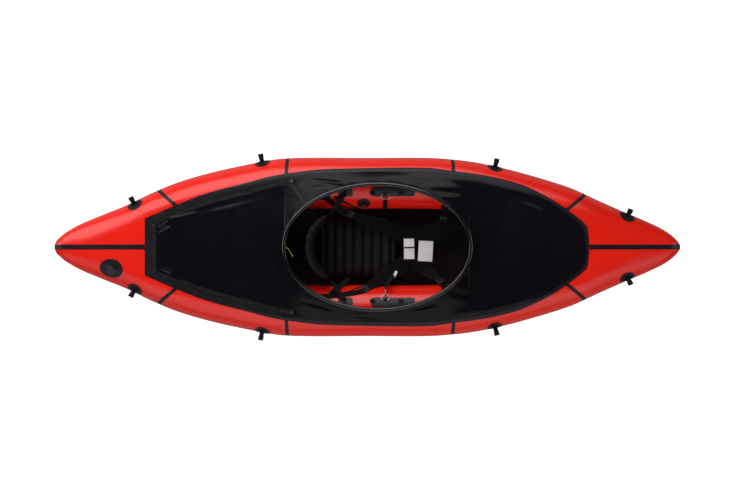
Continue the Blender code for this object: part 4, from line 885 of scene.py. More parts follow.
# Each finish: its maker, its colours (each fixed, or a named one and how much brighter), the roughness
# when clean and when worn, the maker's settings, and what it sets on the shader
CUSHION = {"threads": 700.0, "weave": 0.0001, "folds": 14.0, "fold_depth": 0.0008}
FINISHES = {
    "hull_cloth": (coated_cloth, (("hull", 1.0), ("hull", 0.93)), (0.22, 0.29),
                   {"folds": 4.0, "fold_depth": 0.0008}, {}),
    "deck_cloth": (coated_cloth, (("deck", 0.8), ("deck", 1.2)), (0.17, 0.25),
                   {"threads": 1600.0, "folds": 5.0, "fold_depth": 0.0004}, {"Specular_IOR_Level": 0.15}),
    "floor_cloth": (coated_cloth, (("deck", 2.2), ("deck", 3.4)), (0.42, 0.6),
                    {"threads": 900.0, "weave": 0.00006, "folds": 8.0, "fold_depth": 0.002},
                    {"Specular_IOR_Level": 0.3}),
    "seam_tape": (coated_cloth, (("deck", 1.7), ("deck", 2.8)), (0.36, 0.5),
                  {"folds": 26.0, "fold_depth": 0.0004, "scuffs": 24.0}, {"Specular_IOR_Level": 0.28}),
    "patch_cloth": (coated_cloth, (("deck", 2.0), ("deck", 3.4)), (0.34, 0.48),
                    {"folds": 22.0, "fold_depth": 0.0005, "scuffs": 18.0}, {"Specular_IOR_Level": 0.35}),
    "cushion_cloth": (coated_cloth, (("deck", 2.0), ("deck", 2.8)), (0.5, 0.64), CUSHION,
                      {"Specular_IOR_Level": 0.2}),
    "backrest_cloth": (coated_cloth, (("deck", 1.0), ("deck", 1.6)), (0.5, 0.64), CUSHION,
                       {"Specular_IOR_Level": 0.16}),
    "pad_cloth": (coated_cloth, (("deck", 0.6), ("deck", 1.1)), (0.6, 0.74), CUSHION,
                  {"Specular_IOR_Level": 0.08}),
    "hoop_cloth": (coated_cloth, (("deck", 0.7), ("deck", 1.2)), (0.13, 0.2),
                   {"threads": 1600.0, "folds": 30.0, "fold_depth": 0.0002}, {"Specular_IOR_Level": 0.8}),
    "label_cloth": (coated_cloth, ((0.72, 0.71, 0.73), (0.6, 0.59, 0.6)), (0.5, 0.6),
                    {"threads": 2200.0, "folds": 40.0, "fold_depth": 0.0005, "scuffs": 20.0}, {}),
    "webbing": (woven_band, (("webbing", 1.0),), (0.62, 0.8), {}, {"Specular_IOR_Level": 0.1}),
    "zip_webbing": (woven_band, (("webbing", 0.8),), (0.62, 0.8), {"pitch": 0.0009, "depth": 0.0002},
                    {"Specular_IOR_Level": 0.16}),
    "thread": (woven_band, (("webbing", 2.2),), (0.62, 0.8), {"pitch": 0.0006, "depth": 0.0001}, {}),
    "valve_plastic": (moulded_plastic, (("deck", 2.2),), (0.32, 0.48), {}, {}),
    "hardware_plastic": (moulded_plastic, (("deck", 2.6),), (0.3, 0.44), {}, {}),
    "zip_plastic": (moulded_plastic, (("deck", 5.0),), (0.16, 0.26), {}, {"Specular_IOR_Level": 0.8}),
    "ring_steel": (bare_metal, ((0.86, 0.86, 0.88),), (0.28, 0.42), {}, {"Metallic": 1.0}),
    "cord_braid_yellow": (braided_cord, (("cord", 1.0), ("cord", 0.55)), (0.8, 0.5), {}, {}),
}


def finish(word):
    """A material of the boat, made when it is first asked for."""
    name = "packraft_" + word
    if name not in bpy.data.materials:
        maker, colours, roughness, settings, extra = FINISHES[word]
        named = bpy.context.scene.packraft_colours
        _, tree, shader = new_material(name, Roughness=roughness[0], **extra)
        shades = [shade_of(getattr(named, part[0]), part[1]) if len(part) == 2 else part for part in colours]
        maker(tree, shader, *shades, roughness=roughness, **settings)
    return bpy.data.materials[name]


# Hull

SEAM_TAPE_WIDTH = 0.017
CENTRE_TAPE_WIDTH = 0.023
FLOOR_TAPE_WIDTH = 0.026
TAPE_LIFT = 0.0004
TAPE_THICKNESS = 0.0005
TAPE_ROWS = (0.0, 0.03, 0.5, 0.97, 1.0)
TUBE_COLUMNS = 300
TUBE_ROWS = 84
CONE_COLUMNS = 84
CONE_ROWS = 132
TIP_SHARE = 0.9965
PATCH_LIFT = 0.0009
STERN_PATCH_LIFT = 0.0015
PATCH_THICKNESS = 0.0015
TIE_DOWN_PATCH = (0.074, 0.074)
TIE_DOWN_BASE = (0.046, 0.034)
BASE_THICKNESS = 0.0008
LOOP_WIDTH = 0.025
LOOP_LENGTH = 0.044
LOOP_HEIGHT = 0.016


def tube_middle(place):
    """The middle of the tube beside a place, for telling inside from outside."""
    x = min(max(place.x, -HALF_LENGTH * TIP_SHARE), HALF_LENGTH * TIP_SHARE)
    centre, _, _, middle = tube_section(round(x, 4))
    return Vector((place.x, math.copysign(centre, place.y), middle))


def hull_tube(side, word):
    """One side tube from the stern cone to the bow cone."""
    def place(along, around):
        return dressed_point(DECK_STERN_X + DECK_LENGTH * along, side, -90 + 360 * around)

    work = bent_grid(TUBE_COLUMNS, TUBE_ROWS, place, (DECK_LENGTH, math.tau * TUBE_RADIUS))
    weld(work)
    face_away(work, tube_middle)
    nodes = [word + "_tube_" + panel for panel in ("rear", "middle", "front")]
    add_piece(word + "_tube_skin", work, "hull_cloth", "hull", nodes, 0)


def hull_cone(direction, word):
    """A nose cone, closed at its tip: round from below, over port, to starboard."""
    start = DECK_BOW_X if direction > 0 else DECK_STERN_X
    end = direction * HALF_LENGTH * TIP_SHARE

    def place(along, around):
        x = start + (end - start) * (1 - (1 - along) ** 1.35)
        half = 2 * (round(around * CONE_ROWS) % CONE_ROWS) / (CONE_ROWS - 1)
        if half <= 1:
            return dressed_point(x, PORT, -90 + 180 * half)
        return dressed_point(x, STARBOARD, 90 - 180 * (half - 1))

    work = bent_grid(CONE_COLUMNS, CONE_ROWS, place, (abs(end - start), math.tau * TUBE_RADIUS))
    cap_ends(work)
    face_away(work, tube_middle)
    add_piece(word + "_cone_skin", work, "hull_cloth", "hull", [word + "_cone"], 60)


def welded_tape(name, columns, place_at, width=SEAM_TAPE_WIDTH, lift=TAPE_LIFT, inside=tube_middle,
                nodes=()):
    """A welded tape: a strip that follows the skin, its long edges turned down onto it."""
    def place(along, across):
        share = TAPE_ROWS[round(across * (len(TAPE_ROWS) - 1))]
        height = lift + TAPE_THICKNESS if 0.01 < share < 0.99 else lift - WALL / 2
        return place_at(along, (share - 0.5) * width, height)

    work = bent_grid(columns, len(TAPE_ROWS) - 1, place, (1.0, width))
    face_away(work, inside)
    add_piece(name, work, "seam_tape", "hull", nodes)


def transverse_tape(side, word, x, name):
    """Tape over a straight seam, round the tube from under the floor's edge and back to it."""
    def at(along, across, lift):
        return dressed_point(x + across, side, -84 + 348 * along, lift)

    welded_tape("seam_tape_" + name + "_" + word, 120, at)


def slanted_place(seam, side, angle, across, lift):
    """A point on or beside a cone's slanted seam, at an angle round the tube."""
    _, start_x, start_y, slope = seam
    x = start_x
    for _ in range(40):
        y = abs(skin_point(x, side, angle).y)
        x += (start_x + slope * (y - start_y) + across * math.hypot(1, slope) - x) * 0.5
    return dressed_point(x, side, angle, lift)


def slanted_tape(side, word, seam, name):
    """Tape over a cone's slanted seam, from under the deck's strip down to the floor."""
    def under_strip(angle):
        """Whether the seam lies under the deck's strip there."""
        spot = slanted_place(seam, side, angle, 0.0, 0.0)
        return abs(spot.y) <= deck_half_width(round(spot.x, 3)) - STRIP_WIDTH

    high = next(90.0 - step for step in range(90) if not under_strip(90.0 - step))

    def at(along, across, lift):
        return slanted_place(seam, side, high + (-88 - high) * along, across, lift)

    welded_tape("seam_tape_" + name + "_" + word, 90, at)


def centre_tape(direction, word):
    """The tape along the middle of a cone's top, round the tip and back underneath."""
    start = DECK_BOW_X + DECK_BOW_BULGE if direction > 0 else DECK_STERN_X
    start += direction * PANEL_GAP
    end = direction * HALF_LENGTH * TIP_SHARE

    def at(along, across, lift):
        way = abs(1 - 2 * along)
        x = start + (end - start) * (1 - way ** 1.2)
        _, _, height, middle = tube_section(x)
        up = 1 if along <= 0.5 else -1
        skin = middle + up * height + relief(x, 0.0, 90.0) * (up > 0)
        near_tip = max(0.0, 1 - way / 0.12)
        reach = direction * lift * near_tip
        return Vector((x + reach, across, skin + up * lift * (1 - 0.6 * near_tip)))

    middle = Vector(((start + end) / 2, 0.0, TUBE_CENTRE_Z + TIP_RISE / 3))
    welded_tape(word + "_centre_tape_skin", 180, at, CENTRE_TAPE_WIDTH, 2 * TAPE_LIFT, middle,
                [word + "_centre_tape"])


def floor_sheet():
    """The bottom sheet: flat where it rests, turned up with the tubes at the ends."""
    def place(along, across):
        x = DECK_STERN_X + DECK_LENGTH * along
        centre, _, height, middle = tube_section(x)
        return Vector((x, -centre + 2 * centre * across, middle - height - TOUCH_GAP))

    work = bent_grid(150, 44, place, (DECK_LENGTH, 2 * HALF_BEAM))
    face_towards(work)
    give_wall(work, FLOOR_THICKNESS)
    add_piece("floor_sheet", work, "floor_cloth", "hull", ["floor_panel"], 30)


def floor_tape(side, word):
    """The tape that welds the floor's edge to the tube, underneath."""
    def at(along, across, lift):
        x = DECK_STERN_X + 0.012 + (DECK_LENGTH - 0.024) * along
        centre, width, height, middle = tube_section(x)
        turn = math.radians(-90) + (across + FLOOR_TAPE_WIDTH * 0.42) / width
        y = side * (centre + (width + lift) * math.cos(turn))
        return Vector((x, y, max(middle + (height + lift) * math.sin(turn), 0.0)))

    welded_tape("floor_tape_" + word, 200, at, FLOOR_TAPE_WIDTH)


def skin_patch(name, x, side, angle, size, lift=PATCH_LIFT, thickness=PATCH_THICKNESS, word="patch_cloth",
               slot="patch_fabric", nodes=(), rings=7, sides=56, square=2.0):
    """A round or squarish patch that hugs the skin, with a thin rolled edge."""
    lean, stretch = skin_slant(x, side, angle)
    radius = tube_section(x)[1]

    def place(share_round, share_out):
        turn = math.tau * share_round
        cos, sin = math.cos(turn), math.sin(turn)
        reach = (abs(cos) ** square + abs(sin) ** square) ** (-1 / square)
        out = min(1.0, share_out * rings / (rings - 1))
        edge = lift - WALL / 2 if share_out > 1 - 0.5 / rings else lift + thickness
        shift = size[0] / 2 * out * reach * cos / stretch
        round_by = size[1] / 2 * out * reach * sin - lean * shift
        return dressed_point(x + shift, side, angle + math.degrees(round_by / radius), edge)

    work = bent_grid(sides, rings, place)
    layer = work.loops.layers.uv.verify()
    turn = skin_frame(x, side, angle, 0.0).inverted()
    for face in work.faces:
        for loop in face.loops:
            loop[layer].uv = (turn @ loop.vert.co).xy
    weld(work)
    face_away(work, skin_point(x, side, angle, -TUBE_RADIUS / 2))
    return add_piece(name, work, word, "hull", nodes, 50)


def tie_down(side, word, place_word, x, angle):
    """A round patch, the webbing's base on it, and the loop that swings there."""
    name = "tie_down_{}_{}".format(place_word, word)
    lift = STERN_PATCH_LIFT if x < DECK_STERN_X else PATCH_LIFT
    top = lift + PATCH_THICKNESS
    skin_patch(name + "_patch_skin", x, side, angle, TIE_DOWN_PATCH, lift, nodes=[name + "_patch"])
    skin_patch(name + "_reinforcement", x, side, angle, TIE_DOWN_BASE, top, BASE_THICKNESS, "webbing",
               square=5.0)
    here = skin_frame(x, side, angle, top + TOUCH_GAP + LOOP_HEIGHT / 2)
    length, height = LOOP_LENGTH - WEBBING_THICKNESS, LOOP_HEIGHT - WEBBING_THICKNESS

    def place(around, across):
        turn = math.tau * around
        outward = (1 - math.cos(turn)) / 2
        rise = height / 2 * math.sin(turn) * (0.5 + 0.55 * outward)
        width = LOOP_WIDTH * (1 - 0.18 * bump(outward - 0.3, 0.25))
        bow = 0.0012 * math.sin(math.pi * across)
        return here @ Vector(((across - 0.5) * width, rise, length * outward - height / 2 + bow))

    work = bent_grid(64, 8, place, (2.2 * length, LOOP_WIDTH))
    weld(work)
    face_away(work, here @ Vector((0.0, 0.0, length / 2 - height / 2)))
    give_wall(work, WEBBING_THICKNESS)
    add_piece(name + "_loop_webbing", work, "webbing", name + "_swing", [name + "_loop"], 50)


# Deck

SHEET = 0.001
SLIT = 0.0005
ZIP_DEPTH = STRIP_WIDTH + PANEL_GAP
ZIP_LINE_DEPTH = ZIP_DEPTH + ZIP_TAPE_WIDTH
ZIP_LINE_X = DECK_STERN_X + ZIP_LINE_DEPTH + PANEL_GAP / 2
FLAP_TAPE_WIDTH = 0.012
ZIP_END_WIDTH = 0.030
FOLD_FADE = 0.022
STRIP_LIFT = 0.0015
STRIP_EDGE_LIFT = 0.0004
STRIP_OVERLAP = 0.004
STRIP_ROWS = (0.0, 0.04, 0.35, 0.7, 0.96, 1.0)
TOOTH_PITCH = 0.0030
TOOTH_SIZE = (0.0034, 0.0017, 0.0022)
GARAGE_SIZE = (0.013, 0.018, 0.0034)
BACKING_WIDTH = 0.014
COLLAR_BOTTOM_Z = 0.264
COLLAR_WALL = 0.0015

# The slider's boxes: shares of its length, width and height, place up it, and their edges' radius
SLIDER_BOXES = ((1.0, 1.0, 0.34, 0.17, 0.0008), (0.86, 0.9, 0.24, 0.58, 0.0006),
                (0.3, 0.55, 0.30, 0.83, 0.0006), (0.34, 0.5, 0.3, 0.42, 0.0004))

# The collar's section, up its inner face and down its outer one, with the flare on the deck: offset
# from the coaming's line, and height
COLLAR_SECTION = (
    (0.0, COLLAR_BOTTOM_Z), (0.0, 0.272), (0.0, 0.280), (0.0, 0.288), (0.0, 0.296), (0.0, 0.3055),
    (0.0015, 0.3055), (0.0017, 0.3020), (0.0022, 0.2985), (0.0034, 0.2950), (0.0056, 0.2918),
    (0.0090, 0.2895), (0.0135, 0.2882), (0.0180, 0.2876), (0.0182, 0.2868), (0.0120, 0.2862),
    (0.0050, 0.2860), (0.0015, 0.2850), (0.0015, 0.2740), (0.0015, COLLAR_BOTTOM_Z),
)


def at_share(points, share):
    """A place at a share of a row of places."""
    spot = min(max(share, 0.0), 1.0) * (len(points) - 1)
    low = min(int(spot), len(points) - 2)
    return points[low].lerp(points[low + 1], spot - low)


def deck_point(x, y, lift=0.0):
    """A point of the deck's upper face, with its folds faded out along the welded edge."""
    edge = max(0.0, deck_half_width(round(x, 4)) - STRIP_WIDTH - abs(y))
    ends = max(0.0, min(DECK_BOW_X - x, x - DECK_STERN_X - STRIP_WIDTH))
    folds = bpy.context.scene.packraft_sizes.fold_strength * min(1.0, min(edge, ends) / FOLD_FADE)
    return Vector((x, y, deck_height(x, y) + folds * fold_height(x, y) + lift))


def seam_strip():
    """The welded strip all round the deck's edge."""
    outer = deck_edge()
    inner = inset(outer, STRIP_WIDTH + PANEL_GAP + STRIP_OVERLAP)
    count = len(outer)

    def place(along, across):
        i = round(along * count) % count
        share = STRIP_ROWS[round(across * (len(STRIP_ROWS) - 1))]
        flat = outer[i].lerp(inner[i], share)
        lift = STRIP_LIFT + SHEET * (share < 0.99) if share > 0.01 else STRIP_EDGE_LIFT
        return Vector((flat.x, flat.y, cover_height(flat.x, flat.y) + lift))

    work = bent_grid(count, len(STRIP_ROWS) - 1, place, (5.0, STRIP_WIDTH))
    weld(work)
    face_away(work, below)
    add_piece("deck_strip", work, "seam_tape", "hull", ["deck_seam_strip"], 60)


def coaming_place(turn, offset, z):
    """A place on the coaming's oval, moved out by an offset."""
    length = HOOP_LENGTH / 2 + offset
    width = HOOP_WIDTH / 2 + offset
    return Vector((COAMING_CENTRE_X + length * math.cos(turn), width * math.sin(turn), z))


def coaming_turn(spot):
    """The turn round the coaming's oval that a place lies at."""
    return math.atan2(spot.y / HOOP_WIDTH, (spot.x - COAMING_CENTRE_X) / HOOP_LENGTH)


def front_deck_loop():
    """Outer edge of the front deck: round the bow from the slit's starboard end, then across."""
    port, starboard = hinge_places()
    around = inset(deck_edge(), ZIP_DEPTH)
    loop = around[starboard:] + around[:port + 1]
    slit_x = FLAP_HINGE_X + SLIT / 2
    loop[0].x = loop[-1].x = slit_x
    return loop + [Vector((slit_x, y, 0.0)) for y in even_steps(loop[-1].y, loop[0].y, 72)[1:]]


def front_deck_sheet():
    """Front and side deck in one sheet, from the strip to the coaming."""
    loop = front_deck_loop()
    count = 2 * (len(loop) - 1)

    def place(along, across):
        spot = at_share(loop, round(along * count) / count)
        inner = coaming_place(coaming_turn(spot), COLLAR_WALL + TOUCH_GAP, 0.0)
        flat = spot.lerp(inner, across ** 0.92)
        return deck_point(flat.x, flat.y)

    work = bent_grid(count, 56, place, (5.0, 0.4))
    weld(work)
    face_away(work, below)
    add_piece("front_deck_sheet", work, "deck_cloth", "hull", ["front_deck"], 0)


def flap_port_edge():
    """Port edge of the rear flap from the hinge to the transom."""
    port, _ = hinge_places()
    edge = [p for p in inset(deck_edge(), ZIP_LINE_DEPTH + PANEL_GAP)[port:]
            if p.y > 0.02 and p.x > ZIP_LINE_X - 0.002]
    edge[0].x = FLAP_HINGE_X - SLIT / 2
    return edge


def rear_flap_sheet():
    """The rear deck, which unzips round the stern."""
    edge = flap_port_edge()

    def place(along, across):
        spot = at_share(edge, along)
        return deck_point(max(spot.x, edge[-1].x), spot.y * (1 - 2 * across))

    work = bent_grid(130, 96, place, (0.58, 0.6))
    face_away(work, below)
    add_piece("rear_flap_sheet", work, "deck_cloth", "rear_flap", ["rear_deck_flap"], 0)


def dropped_sheet(name, columns, rows, place, reach, depth, word="zip_webbing", body="hull",
                  nodes=()):
    """A thin flat piece with a straight wall below it."""
    work = bent_grid(columns, rows, place, reach)
    drop_wall(work, depth)
    add_piece(name, work, word, body, nodes, 50)


def hinge_backing():
    """A strip of deck cloth behind the slit where the rear flap folds."""
    reach = inset(deck_edge(), ZIP_LINE_DEPTH + PANEL_GAP)[hinge_places()[0]].y - 0.004

    def place(along, across):
        x = FLAP_HINGE_X + BACKING_WIDTH * (across - 0.2)
        return deck_point(x, reach * (1 - 2 * along), -SHEET * 1.6)

    dropped_sheet("hinge_backing", 90, 4, place, (2 * reach, BACKING_WIDTH), SHEET * 0.6, "deck_cloth")


def zip_run(depth, lift):
    """Places along the rear zip at a depth from the deck's outer edge, port hinge end first."""
    port, starboard = hinge_places()
    run = inset(deck_edge(), depth)[port:starboard + 1]
    run = [p for p in run if p.x >= DECK_STERN_X + depth - 0.0005]
    run[0].x = run[-1].x = FLAP_HINGE_X - SLIT / 2
    return [Vector((p.x, p.y, cover_height(p.x, p.y) + lift)) for p in run]


def zip_tape():
    """The hull's half of the rear zip's tape."""
    lift = STRIP_LIFT + SHEET
    outer, inner = zip_run(ZIP_DEPTH, lift), zip_run(ZIP_LINE_DEPTH, lift)

    def place(along, across):
        spot = at_share(outer, along).lerp(at_share(inner, along), across)
        spot.z = cover_height(spot.x, spot.y) + lift
        spot.z += 0.0007 * math.sin(math.pi * across) + 0.0004 * noise.noise(spot * 60)
        return spot

    dropped_sheet("zip_tape_hull", 400, 8, place, (1.6, ZIP_TAPE_WIDTH), SHEET, nodes=["rear_zip_tape"])


def zip_teeth(name, body, run, inward, shift):
    """A row of teeth along a run of places, pointing across it, narrower at their outer ends."""
    work = bmesh.new()
    mould = plain_box(TOOTH_SIZE)
    for vert in mould.verts:
        if vert.co.x < 0:
            vert.co.y *= 0.72
    row = [(spot, UP) for spot in run]
    for spot, ahead, _ in even_spots(row, TOOTH_PITCH, TOOTH_PITCH * (0.5 + shift)):
        side = UP.cross(ahead).normalized()
        reach = side * (-inward * TOOTH_SIZE[0] * 0.42)
        join_copy(work, mould, axes_at(spot + reach, side * inward, ahead * inward, UP))
    mould.free()
    bmesh.ops.recalc_face_normals(work, faces=work.faces)
    add_piece(name, work, "zip_plastic", body, (), 0)


def flap_zip_tape():
    """The flap's narrow half of the zip's tape, folded over its edge."""
    port_edge = flap_port_edge()
    edge = port_edge + mirrored(port_edge)

    def place(along, across):
        x, y, _ = at_share(edge, along)
        if abs(x - port_edge[-1].x) < 0.02:
            x = min(x + FLAP_TAPE_WIDTH * across, FLAP_HINGE_X - SLIT)
        if abs(y) > 0.16:
            y *= 1 - FLAP_TAPE_WIDTH * across / abs(y)
        return deck_point(x, y, 0.0011 + 0.0004 * math.sin(math.pi * across))

    dropped_sheet("zip_tape_flap", 420, 6, place, (1.6, FLAP_TAPE_WIDTH), SHEET * 0.7, body="rear_flap")


def zip_end(side, word):
    """The zip's closed end in front of the hinge: tape, joined teeth and a moulded garage."""
    port, _ = hinge_places()
    run = [p for p in inset(deck_edge(), ZIP_LINE_DEPTH)[:port + 1] if p.x <= SIDE_SEAM_X + 0.012]
    run = [Vector((p.x, side * p.y, 0.0)) for p in run]
    run[-1].x = FLAP_HINGE_X + SLIT

    def place(along, across):
        spot = at_share(run, along)
        y = spot.y + side * (0.5 - across) * ZIP_END_WIDTH
        return deck_point(spot.x, y, 0.0007 + 0.0007 * math.sin(math.pi * across))

    dropped_sheet("zip_end_tape_" + word, 40, 10, place, (0.06, ZIP_END_WIDTH), SHEET * 0.7)
    zip_teeth("zip_end_teeth_" + word, "hull", [deck_point(p.x, p.y, 0.0020) for p in run], side, 0.0)
    start = run[0]
    ahead = skin_frame(start.x, side, 55.0, 0.0).col[0]
    turn = Matrix.Translation(deck_point(start.x, start.y, 0.0022)) @ Matrix.Rotation(
        side * -0.25, 4, "X") @ Matrix.Rotation(math.atan2(ahead[1], ahead[0]), 4, "Z")
    garage = rounded_boxes(turn, [(GARAGE_SIZE, (0, 0, 0), 0.0012)])
    add_piece("zip_garage_" + word, garage, "hardware_plastic", "hull")


def zip_slider_pieces():
    """The slider with its top, bridge and wedge, and the pull of webbing."""
    low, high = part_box("zip_slider")
    size, middle = high - low, (low + high) / 2
    boxes = [((size.x * length, size.y * width, size.z * height),
              (middle.x, middle.y, low.z + size.z * up), radius)
             for length, width, height, up, radius in SLIDER_BOXES]
    add_piece("zip_slider_shell", rounded_boxes(Matrix(), boxes), "zip_plastic", "zip_slider_body",
              ["zip_slider"])
    low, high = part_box("zip_pull")
    size, middle = high - low, (low + high) / 2

    def place(along, across):
        narrow = 0.62 + 0.38 * min(1.0, along / 0.35)
        end = min(1.0, (1 - along) / 0.08) ** 0.5 if along > 0.92 else 1.0
        y = middle.y + (across - 0.5) * size.y * narrow * max(0.5, end)
        return Vector((low.x + size.x * along, y, high.z - size.z * 0.15 * (2 * across - 1) ** 2))

    work = bent_grid(24, 6, place, size.xy)
    face_towards(work)
    give_wall(work, size.z * 0.85)
    add_piece("zip_pull_tab", work, "webbing", "zip_pull_body", ["zip_pull"])


def collar_band():
    """The fabric wall under the hoop, which spreads out where it is welded to the deck."""
    count = len(COLLAR_SECTION)

    def place(around, along):
        turn = math.tau * around
        i = round(along * count) % count
        offset, z = COLLAR_SECTION[i]
        ripple = noise.noise(Vector((math.cos(turn) * 9, math.sin(turn) * 9, z * 60)))
        fine = math.sin(turn * 46 + 3 * ripple)
        flare = min(1.0, offset / 0.018)
        spot = coaming_place(turn, offset * (1 + 0.35 * ripple * flare), z)
        if 7 <= i <= 17 and offset > 0.0016:
            share = max(0.0, 1 - offset / 0.012)
            lift = (z - DECK_RIDGE_Z) * share + (0.0012 if i < 14 else -0.0006) + 0.0007 * fine
            spot.z = (deck_point(spot.x, spot.y).z + lift) * (1 - share) + z * share
        hang = max(0.0, (DECK_RIDGE_Z - z) / 0.02)
        out = Vector((math.cos(turn), math.sin(turn), 0.0))
        return spot + out * (0.0006 * fine * min(1.0, hang + 0.4) * (1 if offset < 0.003 else 0.5))

    work = bent_grid(420, count, place, (2.4, 0.08))
    weld(work)
    face_away(work, lambda spot: coaming_place(coaming_turn(spot), 0.0008, min(max(spot.z, 0.27), 0.30)))
    add_piece("coaming_wall", work, "deck_cloth", "hull", ["coaming_collar"], 60)


def hoop_sleeve():
    """The hoop in its fabric sleeve, rippled on the inside of the bend, and two rows of stitches."""
    def place(around, about):
        turn, roll = math.tau * around, math.tau * about
        cos, sin = math.cos(turn), math.sin(turn)
        ripple = 0.00035 * math.sin(turn * 150) * max(0.0, -math.cos(roll)) * cos ** 2
        ripple += 0.00032 * noise.noise(Vector((cos * 16, sin * 16 + math.cos(roll), math.sin(roll))))
        size = HOOP_RADIUS - 0.0002 + ripple
        return coaming_place(turn, size * math.cos(roll), HOOP_Z + size * math.sin(roll))

    work = bent_grid(620, 22, place, (2.4, math.tau * HOOP_RADIUS))
    weld(work)
    face_away(work, lambda spot: coaming_place(coaming_turn(spot), 0.0, HOOP_Z))
    add_piece("hoop_sleeve", work, "hoop_cloth", "hull", ["coaming_hoop"], 0)
    turns = even_steps(0.0, math.tau, 360)
    for name, offset, z, way, up in (("coaming_stitches", 0.0019, 0.3018, 1, 0.25),
                                     ("coaming_inner_stitches", -0.0004, 0.3012, -1, 0.0)):
        row = [(coaming_place(turn, offset, z), Vector((way * math.cos(turn), way * math.sin(turn), up)))
               for turn in turns]
        stitched(name, [row], "hull")


# Cockpit

SEAT_REAR_X = -0.250
SEAT_LENGTH = 0.408
SEAT_WIDTH = 0.328
SEAT_HEIGHT = 0.080
SEAT_CHANNELS = 9
SEAT_OUTLINE_SHARES = ((0.0, 0.80), (0.10, 1.0), (0.86, 1.0), (1.0, 0.78))
SEAT_BOTTOM_Z = FLOOR_THICKNESS + TOUCH_GAP
BACKREST_REAR_X = -0.299
BACKREST_RADIUS = 0.180
BACKREST_THICKNESS = 0.045
BACKREST_HEIGHT = 0.180
BACKREST_MIDDLE_Z = 0.205
BACKREST_SWEEP = math.radians(67.0)
BACKREST_CHANNELS = 9
BACKREST_HEIGHT_SHARES = ((0.0, 1.0), (0.5, 0.97), (0.8, 0.88), (0.95, 0.76), (1.0, 0.68))
BACKREST_THICKNESS_SHARES = ((0.0, 1.0), (0.5, 1.0), (0.8, 0.92), (0.95, 0.75), (1.0, 0.45))
BACKREST_CENTRE_X = BACKREST_REAR_X + BACKREST_RADIUS
BACKREST_LINE = BACKREST_RADIUS - BACKREST_THICKNESS / 2
FOOT_BRACE_X = 0.545
FOOT_BRACE_RADIUS = 0.0525
FOOT_BRACE_LENGTH = 0.300
STRAP_WIDTH = 0.025
THIGH_PAD_THICKNESS = 0.005
PAD_STITCH_INSET = 0.0055
PAD_STITCH_LIFT = 0.0047
BUCKLE_LIFT = 0.0062
TAB_HALF_WIDTH = 0.006
TAB_THICKNESS = 0.0014
TAB_SPACING = 0.014
THIGH_REAR = (-0.207, 125.0)
THIGH_FRONT = (0.366, 154.0)
BACKREST_ANCHOR = (-0.106, 115.0)
RING_PATCH = (0.017, 0.224, 100.0, 124.0)
RING_PLACE = (0.084, 117.0)
RING_LENGTH = 0.042
RING_WIDTH = 0.026
RING_WIRE = 0.004
RING_STAND = 20.0
RING_TAB = (0.026, 0.020)
KEEPER_RADIUS = 0.0036
KEEPER_THICKNESS = 0.0009
RING_STRAP_WIDTH = 0.022
RING_STRAP_ANGLES = (141.0, 152.0, 165.0, 178.0)
HOOK_WIRE = 0.0045
HOOK_LENGTH = 0.040
HOOK_WIDTH = 0.016
HOOK_STRAP_WIDTH = 0.020
GATE_WIRE = 0.0032
SWELL_FRAMES = 20
SWELL_PRESSURE = 4.0
SWELL_VOXEL = 0.006

# Stops of the thigh straps: along the coaming, across the hull, height, width and lean
THIGH_SHARES = {
    PORT: (
        (-0.350, 0.407, 0.745, 0.5, 0.42), (-0.235, 0.350, 0.655, 0.7, 0.40),
        (-0.100, 0.292, 0.560, 1.3, 0.25), (0.100, 0.228, 0.468, 1.4, 0.10),
        (0.362, 0.115, 0.420, 1.4, 0.0), (0.530, 0.160, 0.450, 1.4, 0.0),
        (0.660, 0.235, 0.520, 0.9, 0.30), (0.720, 0.350, 0.640, 0.5, 0.80),
    ),
    STARBOARD: (
        (-0.200, 0.500, 0.860, 0.5, 0.45), (-0.075, 0.430, 0.730, 0.8, 0.40),
        (0.055, 0.350, 0.590, 1.3, 0.25), (0.205, 0.255, 0.475, 1.4, 0.10),
        (0.340, 0.155, 0.420, 1.4, 0.0), (0.500, 0.235, 0.455, 1.4, 0.0),
        (0.630, 0.330, 0.540, 0.9, 0.30), (0.690, 0.400, 0.640, 0.5, 0.80),
    ),
}
COAMING_LENGTH = HOOP_LENGTH + 2 * HOOP_RADIUS


def straight_value(table, place):
    """A value read between the pairs of a table."""
    for low, high in zip(table, table[1:]):
        if place <= high[0]:
            return low[1] + (high[1] - low[1]) * (place - low[0]) / (high[0] - low[0])
    return table[-1][1]


def rounder(value, power):
    """A power of a sine or cosine that keeps its sign: below one it squares a circle off."""
    return math.copysign(abs(value) ** power, value)


def swell(piece, cap):
    """Blows a closed form up with a cloth simulation, held back by a cap, and applies it."""
    remesh = piece.modifiers.new("remesh", "REMESH")
    remesh.mode = "VOXEL"
    remesh.voxel_size = SWELL_VOXEL
    remesh.use_smooth_shade = True
    bpy.ops.object.modifier_apply(modifier="remesh")
    start = [vert.co.copy() for vert in piece.data.vertices]
    cloth = piece.modifiers.new("swell", "CLOTH")
    settings = cloth.settings
    settings.quality = 5
    settings.mass = 0.3
    settings.tension_stiffness = settings.compression_stiffness = 12
    settings.bending_stiffness = 0.6
    settings.use_pressure = True
    settings.uniform_pressure_force = SWELL_PRESSURE
    settings.effector_weights.gravity = 0
    cloth.point_cache.frame_start = 1
    cloth.point_cache.frame_end = SWELL_FRAMES
    for number in range(1, SWELL_FRAMES + 1):
        bpy.context.scene.frame_set(number)
    shape = piece.evaluated_get(bpy.context.evaluated_depsgraph_get()).data
    moved = [vert.co.copy() for vert in shape.vertices]
    piece.modifiers.remove(cloth)
    for vert, before, after in zip(piece.data.vertices, start, moved):
        step = after - before
        vert.co = before + step * min(1.0, cap / max(step.length, 1e-9))
    bpy.context.scene.frame_set(1)


